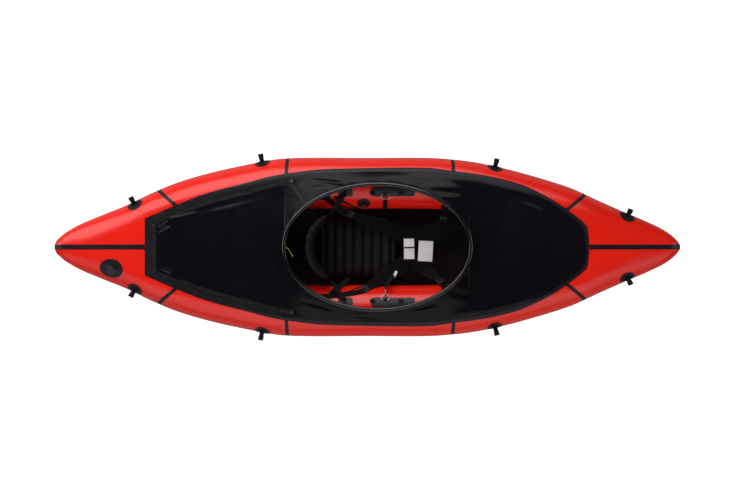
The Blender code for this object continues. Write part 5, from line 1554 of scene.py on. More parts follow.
def soft_pad(name, word, body, node, form, drawn_in, columns, sides, cap):
    """An inflated pad: a closed form that swells up, and is then drawn in at its welded seams."""
    def place(along, around):
        turn = math.tau * (round(around * sides) % sides) / sides
        return form(round(along * columns) / columns, turn)

    work = bent_grid(columns, sides, place)
    cap_ends(work)
    piece = add_piece(name, work, word, "", (), 0)
    bpy.context.view_layer.objects.active = piece
    swell(piece, cap)
    finer = piece.modifiers.new("finer", "SUBSURF")
    finer.levels = finer.render_levels = 1
    bpy.ops.object.modifier_apply(modifier="finer")
    piece.data.shade_smooth()
    for vert in piece.data.vertices:
        vert.co = drawn_in(vert.co.copy())
    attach(piece, body)
    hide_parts(node)


def seat_half_width(place):
    """Half width of the seat along its length, with its cut corners."""
    return SEAT_WIDTH / 2 * straight_value(SEAT_OUTLINE_SHARES, place)


def seat():
    """The inflated seat: nine cross channels between a flat underside and welded seams."""
    pitch = SEAT_LENGTH / SEAT_CHANNELS

    def form(place, turn):
        end = min(1.0, min(place, 1 - place) / 0.05)
        half = seat_half_width(place) * (0.965 + 0.03 * math.sqrt(end)) - 0.003
        tall = SEAT_HEIGHT * (0.40 + 0.44 * math.sqrt(1 - (1 - end) ** 2))
        up = (rounder(math.sin(turn), 0.55) + 1) / 2
        return Vector((SEAT_REAR_X + 0.004 + (SEAT_LENGTH - 0.008) * place,
                       half * rounder(math.cos(turn), 0.42), SEAT_BOTTOM_Z + 0.001 + tall * up))

    def drawn_in(spot):
        along = (spot.x - SEAT_REAR_X) / pitch
        half = seat_half_width(min(max((spot.x - SEAT_REAR_X) / SEAT_LENGTH, 0.0), 1.0))
        seam = abs(along - round(along)) * pitch
        height = (spot.z - SEAT_BOTTOM_Z) / SEAT_HEIGHT
        reach = min(1.0, max(0.0, 1 - abs(spot.y) / max(half, 0.01)) / 0.10)
        if height > 0.30 and 0.5 < along < SEAT_CHANNELS - 0.5:
            groove = 0.013 * bump(seam, 0.0050) * (0.35 + 0.65 * reach)
            crown = 0.006 * math.cos(math.pi * (along - math.floor(along) - 0.5)) * reach
            spot.z += (crown - groove) * min(1.0, (height - 0.30) / 0.35)
            pucker = math.sin(spot.y / 0.0042 + 2.2 * math.sin(along * 5))
            spot.z += 0.0006 * pucker * bump(seam - 0.008, 0.006) * reach
        if height > 0.1:
            spot.y *= 1 - 0.022 * bump(seam, 0.008) * min(1.0, height / 0.4)
        spot.z = min(max(spot.z, SEAT_BOTTOM_Z), SEAT_BOTTOM_Z + SEAT_HEIGHT + 0.001)
        return spot

    soft_pad("seat_pad", "cushion_cloth", "hull", "seat_cushion", form, drawn_in, columns=90, sides=56,
             cap=0.007)
    rows = []
    for line in range(1, SEAT_CHANNELS):
        half = seat_half_width(line / SEAT_CHANNELS) * 0.90
        rows.append([(Vector((SEAT_REAR_X + pitch * line, y, SEAT_BOTTOM_Z + SEAT_HEIGHT * 0.72)), UP)
                     for y in even_steps(-half, half, 40)])
    stitched("seat_stitches", rows, "hull", 0.0)


def backrest():
    """The inflated backrest, curved round the hips, with upright channels."""
    def form(share, turn):
        place = -1 + 2 * share
        tall = straight_value(BACKREST_HEIGHT_SHARES, abs(place))
        thick = straight_value(BACKREST_THICKNESS_SHARES, abs(place))
        round_by = math.pi - BACKREST_SWEEP * (place * 0.985)
        radius = BACKREST_LINE + BACKREST_THICKNESS / 2 * thick * 0.8 * rounder(math.cos(turn), 0.75)
        z = BACKREST_MIDDLE_Z + (BACKREST_HEIGHT / 2 * tall - 0.004) * rounder(math.sin(turn), 0.6)
        return Vector((BACKREST_CENTRE_X + radius * math.cos(round_by), radius * math.sin(round_by), z))

    def drawn_in(spot):
        flat = Vector((spot.x - BACKREST_CENTRE_X, spot.y))
        radius = flat.length
        turn = math.atan2(flat.y, flat.x) % math.tau
        place = (math.pi - turn) / BACKREST_SWEEP
        half = BACKREST_THICKNESS / 2 * straight_value(BACKREST_THICKNESS_SHARES, min(abs(place), 1.0))
        along = (place + 1) / 2 * BACKREST_CHANNELS
        seam = abs(along - round(along)) / BACKREST_CHANNELS * 2 * BACKREST_SWEEP * BACKREST_LINE
        rise = spot.z - BACKREST_MIDDLE_Z
        if 0.5 < along < BACKREST_CHANNELS - 0.5:
            out = (radius - BACKREST_LINE) / max(half, 0.004)
            tall = 1 - min(1.0, abs(rise) / (BACKREST_HEIGHT / 2))
            dent = 0.16 * bump(seam, 0.0050) * min(1.0, 0.25 + tall * 4)
            radius = BACKREST_LINE + half * out * (1 - dent)
            rise *= 1 - 0.012 * bump(seam, 0.006)
        return Vector((BACKREST_CENTRE_X + radius * math.cos(turn), radius * math.sin(turn),
                       BACKREST_MIDDLE_Z + rise))

    soft_pad("backrest_pad", "backrest_cloth", "backrest_body", "backrest", form, drawn_in, columns=96,
             sides=40, cap=0.005)


def foot_brace():
    """The inflated bolster in front of the cockpit."""
    _, _, height, middle = tube_section(FOOT_BRACE_X + FOOT_BRACE_RADIUS / 2)
    bottom = middle - height
    centre_z = bottom + FOOT_BRACE_RADIUS

    def form(share, turn):
        place = -1 + 2 * share
        size = (FOOT_BRACE_RADIUS - 0.004) * ((1 - abs(place) ** 9) ** 0.5 * 0.45 + 0.52)
        size *= 1 - 0.03 * bump(abs(place) - 0.5, 0.02)
        return Vector((FOOT_BRACE_X + size * math.sin(turn), (FOOT_BRACE_LENGTH / 2 - 0.004) * place,
                       centre_z + 0.001 + size * math.cos(turn)))

    def drawn_in(spot):
        edge = abs(spot.y) / (FOOT_BRACE_LENGTH / 2)
        turn = math.atan2(spot.z - centre_z, spot.x - FOOT_BRACE_X)
        pucker = 1 + 0.035 * math.sin(turn * 15) * bump(edge - 0.93, 0.05)
        spot.x = FOOT_BRACE_X + (spot.x - FOOT_BRACE_X) * pucker
        spot.z = max(centre_z + (spot.z - centre_z) * pucker, bottom)
        return spot

    soft_pad("foot_brace_pad", "cushion_cloth", "hull", "foot_brace", form, drawn_in, columns=60,
             sides=40, cap=0.004)


def skin_up(x, side, angle):
    """The direction off the skin at a place."""
    return (skin_point(x, side, angle, TUBE_RADIUS) - skin_point(x, side, angle)).normalized()


def skin_stop(side, x, angle, width, lift=PATCH_LIFT + TOUCH_GAP):
    """One stop of a strap's route where the strap lies on the hull."""
    return strap_stop(skin_point(x, side, angle, lift), width / 2, skin_up(x, side, angle))


def thigh_route(side):
    """The route of a thigh strap, as the frame has it."""
    route = [skin_stop(side, *THIGH_REAR, STRAP_WIDTH)]
    for along, across, height, wide, lean in THIGH_SHARES[side]:
        place = Vector((COAMING_CENTRE_X + COAMING_LENGTH / 2 * along, side * HALF_BEAM * across,
                        2 * TUBE_RADIUS * height))
        route.append(strap_stop(place, STRAP_WIDTH * wide, Vector((0.0, -side * lean, 1.0))))
    return route + [skin_stop(side, *THIGH_FRONT, STRAP_WIDTH)]


def thigh_pad(route):
    """The shape of a padded thigh strap: webbing at its ends and a bound foam pad between."""
    path = smooth_path(route)
    length = path_length(path)

    def place(along, across):
        spot, wide, out, _, face = strap_axes(path, along)
        turn = math.tau * across
        pad = min(1.0, max(0.0, (wide - STRAP_WIDTH * 0.55) / (STRAP_WIDTH * 0.5)))
        thick = WEBBING_THICKNESS / 2 + (THIGH_PAD_THICKNESS - WEBBING_THICKNESS) / 2 * pad
        side_out = rounder(math.cos(turn), 0.55)
        edge = abs(side_out)
        crown = 1 + 0.25 * pad * (1 - edge ** 2) - 0.35 * pad * bump(edge - 0.86, 0.05)
        wave = 0.0005 * pad * math.sin(along * length / 0.009) * bump(edge - 0.8, 0.2)
        lift = THIGH_PAD_THICKNESS / 2 + thick * rounder(math.sin(turn), 0.5) * crown + wave
        return spot + out * wide * side_out + face * lift

    work = bent_grid(round(length / 0.005), 40, place, (length, STRAP_WIDTH * 2))
    cap_ends(work)
    return work


def ring_frame(side):
    """Frame of a ring on its hinge: local X along the hull, local Y down the tube, Z off it."""
    lift = PATCH_LIFT + PATCH_THICKNESS + TOUCH_GAP + RING_WIRE / 2
    down = Matrix.Rotation(math.pi if side > 0 else 0.0, 4, "Z")
    stand = Matrix.Rotation(math.radians(RING_STAND), 4, "X")
    return skin_frame(RING_PLACE[0], side, RING_PLACE[1], lift) @ down @ stand


def arc(x, y, radius, start, sweep, steps):
    """Flat places on a part of a circle, its turns in degrees."""
    turns = even_steps(math.radians(start), math.radians(start + sweep), steps)
    return [Vector((x + radius * math.cos(turn), y + radius * math.sin(turn), 0.0)) for turn in turns]


def metal_ring(side, word):
    """A round-cornered steel ring on its patch."""
    corner = RING_WIRE * 1.3
    x, low, high = RING_LENGTH / 2 - RING_WIRE / 2 - corner, corner, RING_WIDTH - RING_WIRE - corner
    points = []
    for start, centre in zip((0, 90, 180, 270), ((x, high), (-x, high), (-x, low), (x, low))):
        points += [ring_frame(side) @ point for point in arc(*centre, corner, start, 90, 6)]
    work = round_tube(points, RING_WIRE / 2, 14, closed=True)
    add_piece("steel_ring_" + word, work, "ring_steel", "ring_" + word + "_body",
              ["ring_" + word], 0)


def scalloped_patch(side, word):
    """The long anchor patch behind a ring, its edge cut in round scallops."""
    start, end, high, low = RING_PATCH
    middle_x, half_x = (start + end) / 2, (end - start) / 2
    middle_angle, half_angle = (high + low) / 2, (low - high) / 2
    rings = 8

    def place(around, out):
        turn = math.tau * around
        cos, sin = math.cos(turn), math.sin(turn)
        reach = min(1.0, out * rings / (rings - 1)) * (abs(cos) ** 7 + abs(sin) ** 7) ** (-1 / 7)
        x = middle_x + half_x * reach * cos
        scallop = 1 - 0.16 * abs(math.cos(math.pi * (x - start) / (half_x / 2))) * sin ** 2
        lift = PATCH_LIFT + PATCH_THICKNESS * (1.0 if out < 1 - 0.5 / rings else -0.3)
        return dressed_point(x, side, middle_angle + half_angle * reach * sin * scallop, lift)

    work = bent_grid(112, rings, place)
    weld(work)
    face_away(work, skin_point(middle_x, side, middle_angle, -TUBE_RADIUS / 2))
    add_piece("ring_patch_skin_" + word, work, "patch_cloth", "hull",
              ["ring_patch_" + word], 50)


def anchor_patch(name, side, x, angle, length, width, tabs=1):
    """A patch with short tabs of webbing over it."""
    skin_patch(name + "_patch", x, side, angle, (length, width), 0.0004, 0.0009, square=4.5)
    up = skin_up(x, side, angle)
    for tab in range(tabs):
        shift = (tab - (tabs - 1) / 2) * TAB_SPACING
        turns = [angle + math.degrees((step / 3 - 0.5) * width * 0.8 / TUBE_RADIUS) for step in range(4)]
        places = [skin_point(x + shift, side, turn, TAB_THICKNESS) for turn in turns]
        route = [strap_stop(spot, TAB_HALF_WIDTH, up) for spot in places]
        webbing_band("{}_tab_{}".format(name, tab + 1), route, "hull", thickness=TAB_THICKNESS)


def snap_hook_pieces():
    """The moulded snap hook on the starboard ring and its sprung steel gate."""
    seat_depth = HOOK_WIDTH / 2 - HOOK_WIRE / 2 - RING_WIRE / 2 - TOUCH_GAP
    here = ring_frame(STARBOARD) @ Matrix.Translation((0.0, RING_WIDTH - RING_WIRE + seat_depth, 0.0))
    radius = HOOK_WIDTH / 2
    oval = arc(0.0, 0.0, radius, 90, 180, 12) + arc(HOOK_LENGTH - HOOK_WIDTH, 0.0, radius, -90, 180, 12)
    oval = [Vector((0.0, place.x, place.y)) for place in oval]
    work = round_tube([here @ place for place in oval], HOOK_WIRE / 2, 12)
    rounded_boxes(here, [((0.010, 0.010, 0.013), (0.0, HOOK_LENGTH - radius - 0.0015, 0.0), 0.0018)], work)
    add_piece("snap_hook_body_shell", work, "hardware_plastic", "snap_hook_body",
              ["snap_hook"], 50)
    inwards = (oval[-1] - oval[0]).normalized() * 0.0006
    low, high = oval[0] + inwards, oval[-1] - inwards
    gate = round_tube([here @ low.lerp(high, share) for share in even_steps(0.0, 1.0, 8)], GATE_WIRE / 2)
    add_piece("snap_gate_rod", gate, "ring_steel", "snap_gate_body", ["snap_gate"], 50)
    return here


# Straps and fittings

TAG_SIZE = (0.013, 0.032, 0.0012)
LABEL_THICKNESS = 0.0007

# Loose straps: half width, and stops as place, with the way that the strap faces
LOOSE_STRAPS = {
    "crossing_strap_port_low": (0.0120, (
        (-0.212, 0.250, 0.221, 0.0, -0.5, 1.0), (-0.165, 0.205, 0.205, 0.1, -0.4, 1.0),
        (-0.125, 0.165, 0.163, 0.0, -0.5, 1.0), (-0.100, 0.147, 0.118, 0.0, -0.8, 1.0))),
    "crossing_strap_port_high": (0.0110, (
        (-0.168, 0.268, 0.231, 0.0, -0.3, 1.0), (-0.140, 0.232, 0.222, 0.0, -0.3, 1.0),
        (-0.080, 0.205, 0.190, 0.0, -0.6, 1.0), (-0.030, 0.185, 0.150, 0.0, -0.9, 1.0))),
    "crossing_strap_starboard_low": (0.0120, (
        (-0.205, -0.252, 0.221, 0.0, 0.5, 1.0), (-0.160, -0.212, 0.207, 0.0, 0.4, 1.0),
        (-0.120, -0.178, 0.165, 0.0, 0.6, 1.0), (-0.092, -0.150, 0.120, 0.0, 0.9, 1.0))),
    "crossing_strap_starboard_high": (0.0110, (
        (-0.150, -0.268, 0.232, 0.0, 0.3, 1.0), (-0.118, -0.236, 0.222, 0.0, 0.3, 1.0),
        (-0.060, -0.206, 0.190, 0.0, 0.6, 1.0), (0.005, -0.187, 0.152, 0.0, 0.9, 1.0))),
}


def ladder_buckle(name, path, share, body):
    """A ladder-lock buckle on a strap: a frame with two bars, moulded in one piece."""
    spot, _, out, ahead, face = strap_axes(path, share, 0.02)
    here = axes_at(spot, -out, ahead, face) @ Matrix.Translation((0.0, 0.0, BUCKLE_LIFT))
    width = STRAP_WIDTH * 1.28
    boxes = [((width, 0.0042, 0.0030), (0.0, 0.011, 0.0), 0.001)]
    boxes += [((width, 0.0034, 0.0028), (0.0, y, 0.0), 0.001) for y in (-0.011, 0.0, 0.005)]
    boxes += [((0.0034, 0.0262, 0.0034), (x * STRAP_WIDTH * 0.58, 0.0, 0.0), 0.001) for x in (-1, 1)]
    add_piece(name, rounded_boxes(here, boxes), "hardware_plastic", body)


def thigh_strap(side, word):
    """One thigh strap with its buckles, anchors and stitches."""
    body = "thigh_" + word
    path = smooth_path(thigh_route(side))
    rear = skin_point(THIGH_REAR[0], side, THIGH_REAR[1], PATCH_LIFT)
    piece = add_piece("thigh_pad_" + word, thigh_pad(thigh_route(side)), "pad_cloth", "",
                      ["thigh_strap_" + word], 60)
    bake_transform(piece)
    ladder_buckle("thigh_buckle_rear_" + word, path, 0.165, body)
    ladder_buckle("thigh_buckle_front_" + word, path, 0.86, body)
    anchor_patch("thigh_anchor_rear_" + word, side, THIGH_REAR[0] + 0.004, THIGH_REAR[1] - 3, 0.062, 0.050)
    anchor_patch("thigh_anchor_front_" + word, side, THIGH_FRONT[0] + 0.012, THIGH_FRONT[1] + 2, 0.056,
                 0.052, 2)
    rows = []
    for edge_side in (-1, 1):
        rows.append([])
        for share in even_steps(0.22, 0.78, 180):
            spot, wide, out, _, face = strap_axes(path, share)
            rim = out * max(0.0, wide - PAD_STITCH_INSET) * edge_side
            rows[-1].append((spot + rim + face * PAD_STITCH_LIFT, face))
    seam = stitched("thigh_stitches_" + word, rows, "", 0.0002)
    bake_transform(seam)


def thigh_straps():
    """Both thigh straps, and the strap that joins them."""
    for side, word in SIDES:
        thigh_strap(side, word)
    port, starboard = (Vector(thigh_route(side)[5][:3]) for side, _ in SIDES)
    lift = UP * (THIGH_PAD_THICKNESS + 0.0012)
    route = [strap_stop(port.lerp(starboard, share) + lift, STRAP_WIDTH / 2, UP)
             for share in (0.10, 0.35, 0.65, 0.90)]
    webbing_band("thigh_centre_webbing", route, "thigh_centre", ["thigh_centre_strap"])


def hanging_labels():
    """The bare woven labels that lie beside the centre strap and on the starboard strap."""
    spots = (("label_wide", (0.200, -0.009, 0.112), 0.050, 0.098, 0.02),
             ("label_narrow", (0.279, -0.020, 0.1145), 0.070, 0.098, -0.05))
    for name, middle, length, width, turn_by in spots:
        turn = Matrix.Translation(middle) @ Matrix.Rotation(turn_by, 4, "Z") @ Matrix.Rotation(0.06, 4, "Y")

        def place(along, across):
            x, y = (along - 0.5) * length, (across - 0.5) * width
            wave = 0.0012 * noise.noise(Vector((x * 22, y * 22, length * 90)))
            return turn @ Vector((x, y, wave - 0.002 * max(0.0, abs(across - 0.5) * 2 - 0.8)))

        work = bent_grid(26, 38, place, (length, width))
        face_towards(work)
        give_wall(work, LABEL_THICKNESS)
        add_piece(name, work, "label_cloth", "thigh_starboard")
        if name == "label_wide":
            route = [strap_stop(turn @ Vector(((share - 0.5) * length * 0.98, 0.006, 0.0018)), 0.0034, UP)
                     for share in (0.0, 0.35, 0.7, 1.0)]
            webbing_band(name + "_fold", route, "thigh_starboard", thickness=0.0006, across=2)


def backrest_straps():
    """The straps that hold the backrest up, and the tab under it."""
    turn = math.pi - BACKREST_SWEEP
    cos, sin = math.cos(turn), math.sin(turn)
    height = BACKREST_MIDDLE_Z + BACKREST_HEIGHT / 6
    for side, word in SIDES:
        end = Vector((BACKREST_CENTRE_X + BACKREST_LINE * cos, side * BACKREST_LINE * sin, height))
        start = end + Vector((sin, -side * cos, 0.0)) * 0.0009
        on_tube = skin_stop(side, *BACKREST_ANCHOR, STRAP_WIDTH)
        half_way = start.lerp(Vector(on_tube[:3]), 0.5) + UP * WEBBING_THICKNESS
        route = [strap_stop(start, STRAP_WIDTH / 2, Vector((-cos, -side * sin, 0.0))),
                 strap_stop(half_way, STRAP_WIDTH / 2, Vector((0.0, -side, 1.0))), on_tube]
        piece = webbing_band("backrest_webbing_" + word, route, "", ["backrest_strap_" + word])
        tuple(on_tube[:3])
        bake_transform(piece)
        anchor_patch("backrest_anchor_" + word, side, BACKREST_ANCHOR[0] + 0.002, BACKREST_ANCHOR[1] - 2,
                     0.070, 0.046)
    rear = SEAT_REAR_X - 1.5 * WEBBING_THICKNESS
    hinge_z = BACKREST_MIDDLE_Z - BACKREST_HEIGHT / 2 - TOUCH_GAP
    stops = ((rear, SEAT_HEIGHT / 4, 0.0), (rear, SEAT_HEIGHT / 2, 0.0),
             (BACKREST_REAR_X + BACKREST_THICKNESS / 2, hinge_z - WEBBING_THICKNESS / 2, 0.5))
    route = [strap_stop(Vector((x, 0.0, z)), 0.030, Vector((1.0, 0.0, up))) for x, z, up in stops]
    webbing_band("backrest_tab_webbing", route, "hull", ["backrest_tab"])


def loose_straps():
    """The crossing straps at the seat's rear corners."""
    for name, (half, stops) in LOOSE_STRAPS.items():
        webbing_band(name, [strap_stop(stop[:3], half, Vector(stop[3:])) for stop in stops], "hull")


def ring_mounts(side, word):
    """A ring with its long patch, the keeper round its bar, and two tabs."""
    scalloped_patch(side, word)
    metal_ring(side, word)
    hinge = ring_frame(side)
    route = []
    for turn in even_steps(math.radians(-150), math.radians(150), 8):
        spot = hinge @ Vector((0.0, -KEEPER_RADIUS * 0.9 * math.cos(turn), KEEPER_RADIUS * math.sin(turn)))
        route.append(strap_stop(spot, 0.010, spot - hinge.translation))
    webbing_band("ring_keeper_" + word, route, "hull", thickness=KEEPER_THICKNESS, across=4, step=0.002)
    for shift, label in ((-0.060, "rear"), (0.075, "front")):
        skin_patch("ring_patch_tab_{}_{}".format(label, word), RING_PLACE[0] + shift, side,
                   RING_PLACE[1] - 3, RING_TAB, PATCH_LIFT + PATCH_THICKNESS, BASE_THICKNESS,
                   "webbing", "webbing", square=4.0)


def ring_fittings():
    """Rings on their patches, the port ring's strap, and the starboard hook with its webbing."""
    for side, word in SIDES:
        ring_mounts(side, word)
    bar = ring_frame(PORT) @ Vector((0.0, RING_WIDTH - RING_WIRE, 0.0))
    bar += Vector((0.0, -RING_WIRE / 2 - WEBBING_THICKNESS, -WEBBING_THICKNESS))
    route = [strap_stop(bar, RING_STRAP_WIDTH / 2, Vector((0.0, -1.0, 1.0)))]
    route += [skin_stop(PORT, RING_PLACE[0], angle, RING_STRAP_WIDTH) for angle in RING_STRAP_ANGLES]
    webbing_band("ring_webbing_port", route, "hull", ["ring_strap_port"])
    hook = snap_hook_pieces()
    start = hook @ Vector((0.0, HOOK_LENGTH - HOOK_WIDTH / 2 + HOOK_WIRE / 2 + TOUCH_GAP, 0.0))
    end = Vector(thigh_route(STARBOARD)[4][:3]) + UP * (THIGH_PAD_THICKNESS + 0.0006)
    lean, half = Vector((0.0, 1.0, 1.0)), HOOK_STRAP_WIDTH / 2
    route = [strap_stop(start, half, lean), strap_stop(start.lerp(end, 0.5), half, lean),
             strap_stop(end, half, UP)]
    band = webbing_band("hook_webbing_band", route, "", ["hook_webbing"])
    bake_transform(band)
    spot = start.lerp(end, 0.72) + Vector((0.010, 0.002, 0.004))
    tag = rounded_boxes(Matrix.Translation(spot) @ Matrix.Rotation(-0.45, 4, "Z"),
                        [(TAG_SIZE, (0.0, 0.0, 0.0), 0.0004)])
    tag = add_piece("strap_tag", tag, "label_cloth", "")
    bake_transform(tag)


# Valves

MAIN_VALVE_PLACE = (-1.198, STARBOARD, 67.0)
MAIN_VALVE_PATCH = (0.110, 0.096)
MOUTH_VALVE_PLACE = (-0.018, PORT, 144.0)
MOUTH_VALVE_PATCH = (0.064, 0.064)
WELD_RADIUS = 0.0295
PLUNGER_Z = 0.0053
CAP_RADIUS = 0.0217
NOZZLE_Z = 0.0163
NOZZLE_RADIUS = 0.0110

# Sections of the turned pieces: radius and height off the patch
VALVE_BODY = (
    (0.0, 0.0020), (0.0145, 0.0020), (0.0145, 0.0108), (0.0149, 0.0110), (0.0186, 0.0110),
    (0.0190, 0.0106), (0.0190, 0.0095), (0.0185, 0.0088), (0.0190, 0.0080), (0.0185, 0.0070),
    (0.0190, 0.0062), (0.0185, 0.0052), (0.0190, 0.0044), (0.0190, 0.0027), (0.0262, 0.0025),
    (0.0270, 0.0018), (0.0270, 0.0), (0.0, 0.0),
)
VALVE_PLUNGER = (
    (0.0, PLUNGER_Z + 0.0035), (0.0040, PLUNGER_Z + 0.0035), (0.0046, PLUNGER_Z + 0.0026),
    (0.0130, PLUNGER_Z + 0.0022), (0.0141, PLUNGER_Z + 0.0012), (0.0141, PLUNGER_Z), (0.0, PLUNGER_Z),
)
VALVE_CAP = (
    (0.0, 0.0127), (0.0080, 0.0127), (0.0086, 0.0133), (0.0150, 0.0133), (0.0156, 0.0127),
    (0.0196, 0.0132), (0.0210, 0.0126), (0.0211, 0.0112), (0.0211, 0.0030), (0.0195, 0.0030),
    (0.0195, 0.0113), (0.0, 0.0113),
)
MOUTH_STEM = (
    (0.0, 0.0160), (0.0072, 0.0160), (0.0080, 0.0152), (0.0080, 0.0026), (0.0090, 0.0020),
    (0.0143, 0.0017), (0.0150, 0.0010), (0.0150, 0.0), (0.0, 0.0),
)
MOUTH_NOZZLE = (
    (0.0, NOZZLE_Z + 0.0050), (0.0034, NOZZLE_Z + 0.0050), (0.0040, NOZZLE_Z + 0.0044),
    (0.0044, NOZZLE_Z + 0.0020), (0.0088, NOZZLE_Z + 0.0008), (0.0108, NOZZLE_Z - 0.0006),
    (0.0108, NOZZLE_Z - 0.0070), (0.0085, NOZZLE_Z - 0.0070), (0.0085, NOZZLE_Z), (0.0, NOZZLE_Z),
)


def ribbed_rim(work, here, radius, bottom, top, count, size):
    """Adds grip ribs round a cap's rim."""
    mould = plain_box((size * 1.4, size, top - bottom))
    for i in range(count):
        out = Matrix.Translation((radius - size * 0.35, 0.0, (bottom + top) / 2))
        join_copy(work, mould, here @ Matrix.Rotation(math.tau * i / count, 4, "Z") @ out)
    mould.free()


def valve_piece(name, work, body, node):
    """One plastic piece of a valve."""
    add_piece(name, work, "valve_plastic", body, [node])


def main_valve():
    """The main valve: patch, flange with its weld, threaded body, plunger and ribbed cap."""
    skin_patch("main_valve_patch_skin", *MAIN_VALVE_PLACE, MAIN_VALVE_PATCH, nodes=["main_valve_patch"],
               rings=10, sides=80)
    here = skin_frame(*MAIN_VALVE_PLACE, PATCH_LIFT + PATCH_THICKNESS + TOUCH_GAP)
    valve_piece("main_valve_flange", turned_shape(VALVE_BODY, here, 72), "hull", "main_valve_body")
    plunger = turned_shape(VALVE_PLUNGER, here)
    valve_piece("main_valve_button", plunger, "valve_plunger", "main_valve_plunger")
    cap = turned_shape(VALVE_CAP, here, 72)
    ribbed_rim(cap, here, CAP_RADIUS - 0.0003, bottom=0.0034, top=0.0118, count=30, size=0.0013)
    rounded_boxes(here, [((0.030, 0.0050, 0.0022), (0.0, 0.0, 0.0133), 0.0009)], cap)
    valve_piece("main_valve_cap_shell", cap, "valve_cap", "main_valve_cap")
    ring = [here @ (place + UP * 0.0006) for place in arc(0.0, 0.0, WELD_RADIUS, 0, 360, 72)[:-1]]
    add_piece("main_valve_weld", round_tube(ring, 0.0009, 8, closed=True), "patch_cloth", "hull",
              (), 0)


def mouth_valve():
    """The top-up valve on the port tube's inner side: patch, stem and twist nozzle."""
    skin_patch("mouth_valve_patch_skin", *MOUTH_VALVE_PLACE, MOUTH_VALVE_PATCH,
               nodes=["mouth_valve_patch"], rings=8, sides=64)
    here = skin_frame(*MOUTH_VALVE_PLACE, PATCH_LIFT + PATCH_THICKNESS + TOUCH_GAP)
    valve_piece("mouth_valve_tube", turned_shape(MOUTH_STEM, here), "hull", "mouth_valve_stem")
    nozzle = turned_shape(MOUTH_NOZZLE, here)
    ribbed_rim(nozzle, here, NOZZLE_RADIUS, bottom=NOZZLE_Z - 0.0066, top=NOZZLE_Z - 0.0010, count=18,
               size=0.0011)
    valve_piece("mouth_valve_mouthpiece", nozzle, "mouth_nozzle", "mouth_valve_nozzle")


# Pull cord

PULL_CORD_DIAMETER = 0.003
KNOT_RADIUS = 0.0036
PULL_CORD_ROUTE = (
    (-0.3886, 0.000, 0.2850), (-0.3830, -0.001, 0.2845), (-0.3760, -0.005, 0.2810),
    (-0.3690, -0.012, 0.2750), (-0.3625, -0.022, 0.2670), (-0.3570, -0.032, 0.2580),
    (-0.3535, -0.041, 0.2490),
)


def pull_cord():
    """The short braided cord at the back of the coaming, with the ball knot at its end."""
    path = [Vector(row) for row in smooth_path(PULL_CORD_ROUTE, 6)]
    work = round_tube(path, PULL_CORD_DIAMETER / 2, 14)
    cord = add_piece("pull_cord_braid", work, "cord_braid_yellow", "hull", ["pull_cord"], 0)
    knot = bmesh.new()
    bmesh.ops.create_uvsphere(knot, u_segments=24, v_segments=16, radius=1.0)
    middle = path[-1] + (path[-1] - path[-2]).normalized() * 0.001
    for vert in knot.verts:
        turn = math.atan2(vert.co.y, vert.co.x)
        vert.co = middle + vert.co * (KNOT_RADIUS * (1 + 0.12 * math.sin(3 * turn + 5 * vert.co.z)))
    bmesh.ops.recalc_face_normals(knot, faces=knot.faces)
    end = add_piece("pull_cord_knot", knot, "cord_braid_yellow", "hull", (), 0)
    path_length(path)


# Stage

CAMERA_PLACE = (0.012, 0.0, 6.0)
CAMERA_LENS = 59.57


def new_object(name, data):
    """Links a new object of the stage."""
    item = bpy.data.objects.new(name, data)
    bpy.context.scene.collection.objects.link(item)
    return item


def studio_floor():
    """A wide pale floor that shows evenly white and throws little light up at the boat."""
    work = bmesh.new()
    bmesh.ops.create_grid(work, x_segments=2, y_segments=2, size=14.0)
    bmesh.ops.translate(work, verts=work.verts, vec=(0.0, 0.0, -0.0006))
    mesh = bpy.data.meshes.new("studio_floor")
    work.to_mesh(mesh)
    work.free()
    floor = new_object("studio_floor", mesh)
    material, tree, shader = new_material("studio_paper", Roughness=0.9, Specular_IOR_Level=0.1)
    tint = noise_value(tree, object_place(tree), 3.0, 2.0)
    seen = tree.nodes.new("ShaderNodeLightPath").outputs["Is Camera Ray"]
    feed(tree, mixed_colour(tree, tint, (0.24, 0.24, 0.24), (0.27, 0.27, 0.27)), shader.inputs["Base Color"])
    feed(tree, mixed_colour(tree, seen, (0.04, 0.04, 0.04), (1.0, 1.0, 1.0)), shader.inputs["Emission Color"])
    shader.inputs["Emission Strength"].default_value = bpy.context.scene.packraft_sizes.floor_glow
    mesh.materials.append(material)


def soft_light(name, place, aim, size, power, colour=(1.0, 1.0, 1.0), mirrored_on_gloss=True):
    """A soft rectangular light that faces a place, with or without its mirror image on gloss."""
    light = bpy.data.lights.new(name, "AREA")
    light.shape = "RECTANGLE"
    light.size, light.size_y = size
    light.energy = power
    light.color = colour
    lamp = new_object(name, light)
    lamp.location = place
    lamp.rotation_euler = (Vector(aim) - Vector(place)).to_track_quat("-Z", "Y").to_euler()
    lamp.visible_camera = False
    lamp.visible_glossy = mirrored_on_gloss


def studio_camera():
    """The camera straight above the boat, its bow to the right."""
    lens = bpy.data.cameras.new("overhead_camera")
    lens.lens = CAMERA_LENS
    lens.sensor_width = 36.0
    lens.clip_end = 60.0
    camera = new_object("overhead_camera", lens)
    camera.location = CAMERA_PLACE
    bpy.context.scene.camera = camera


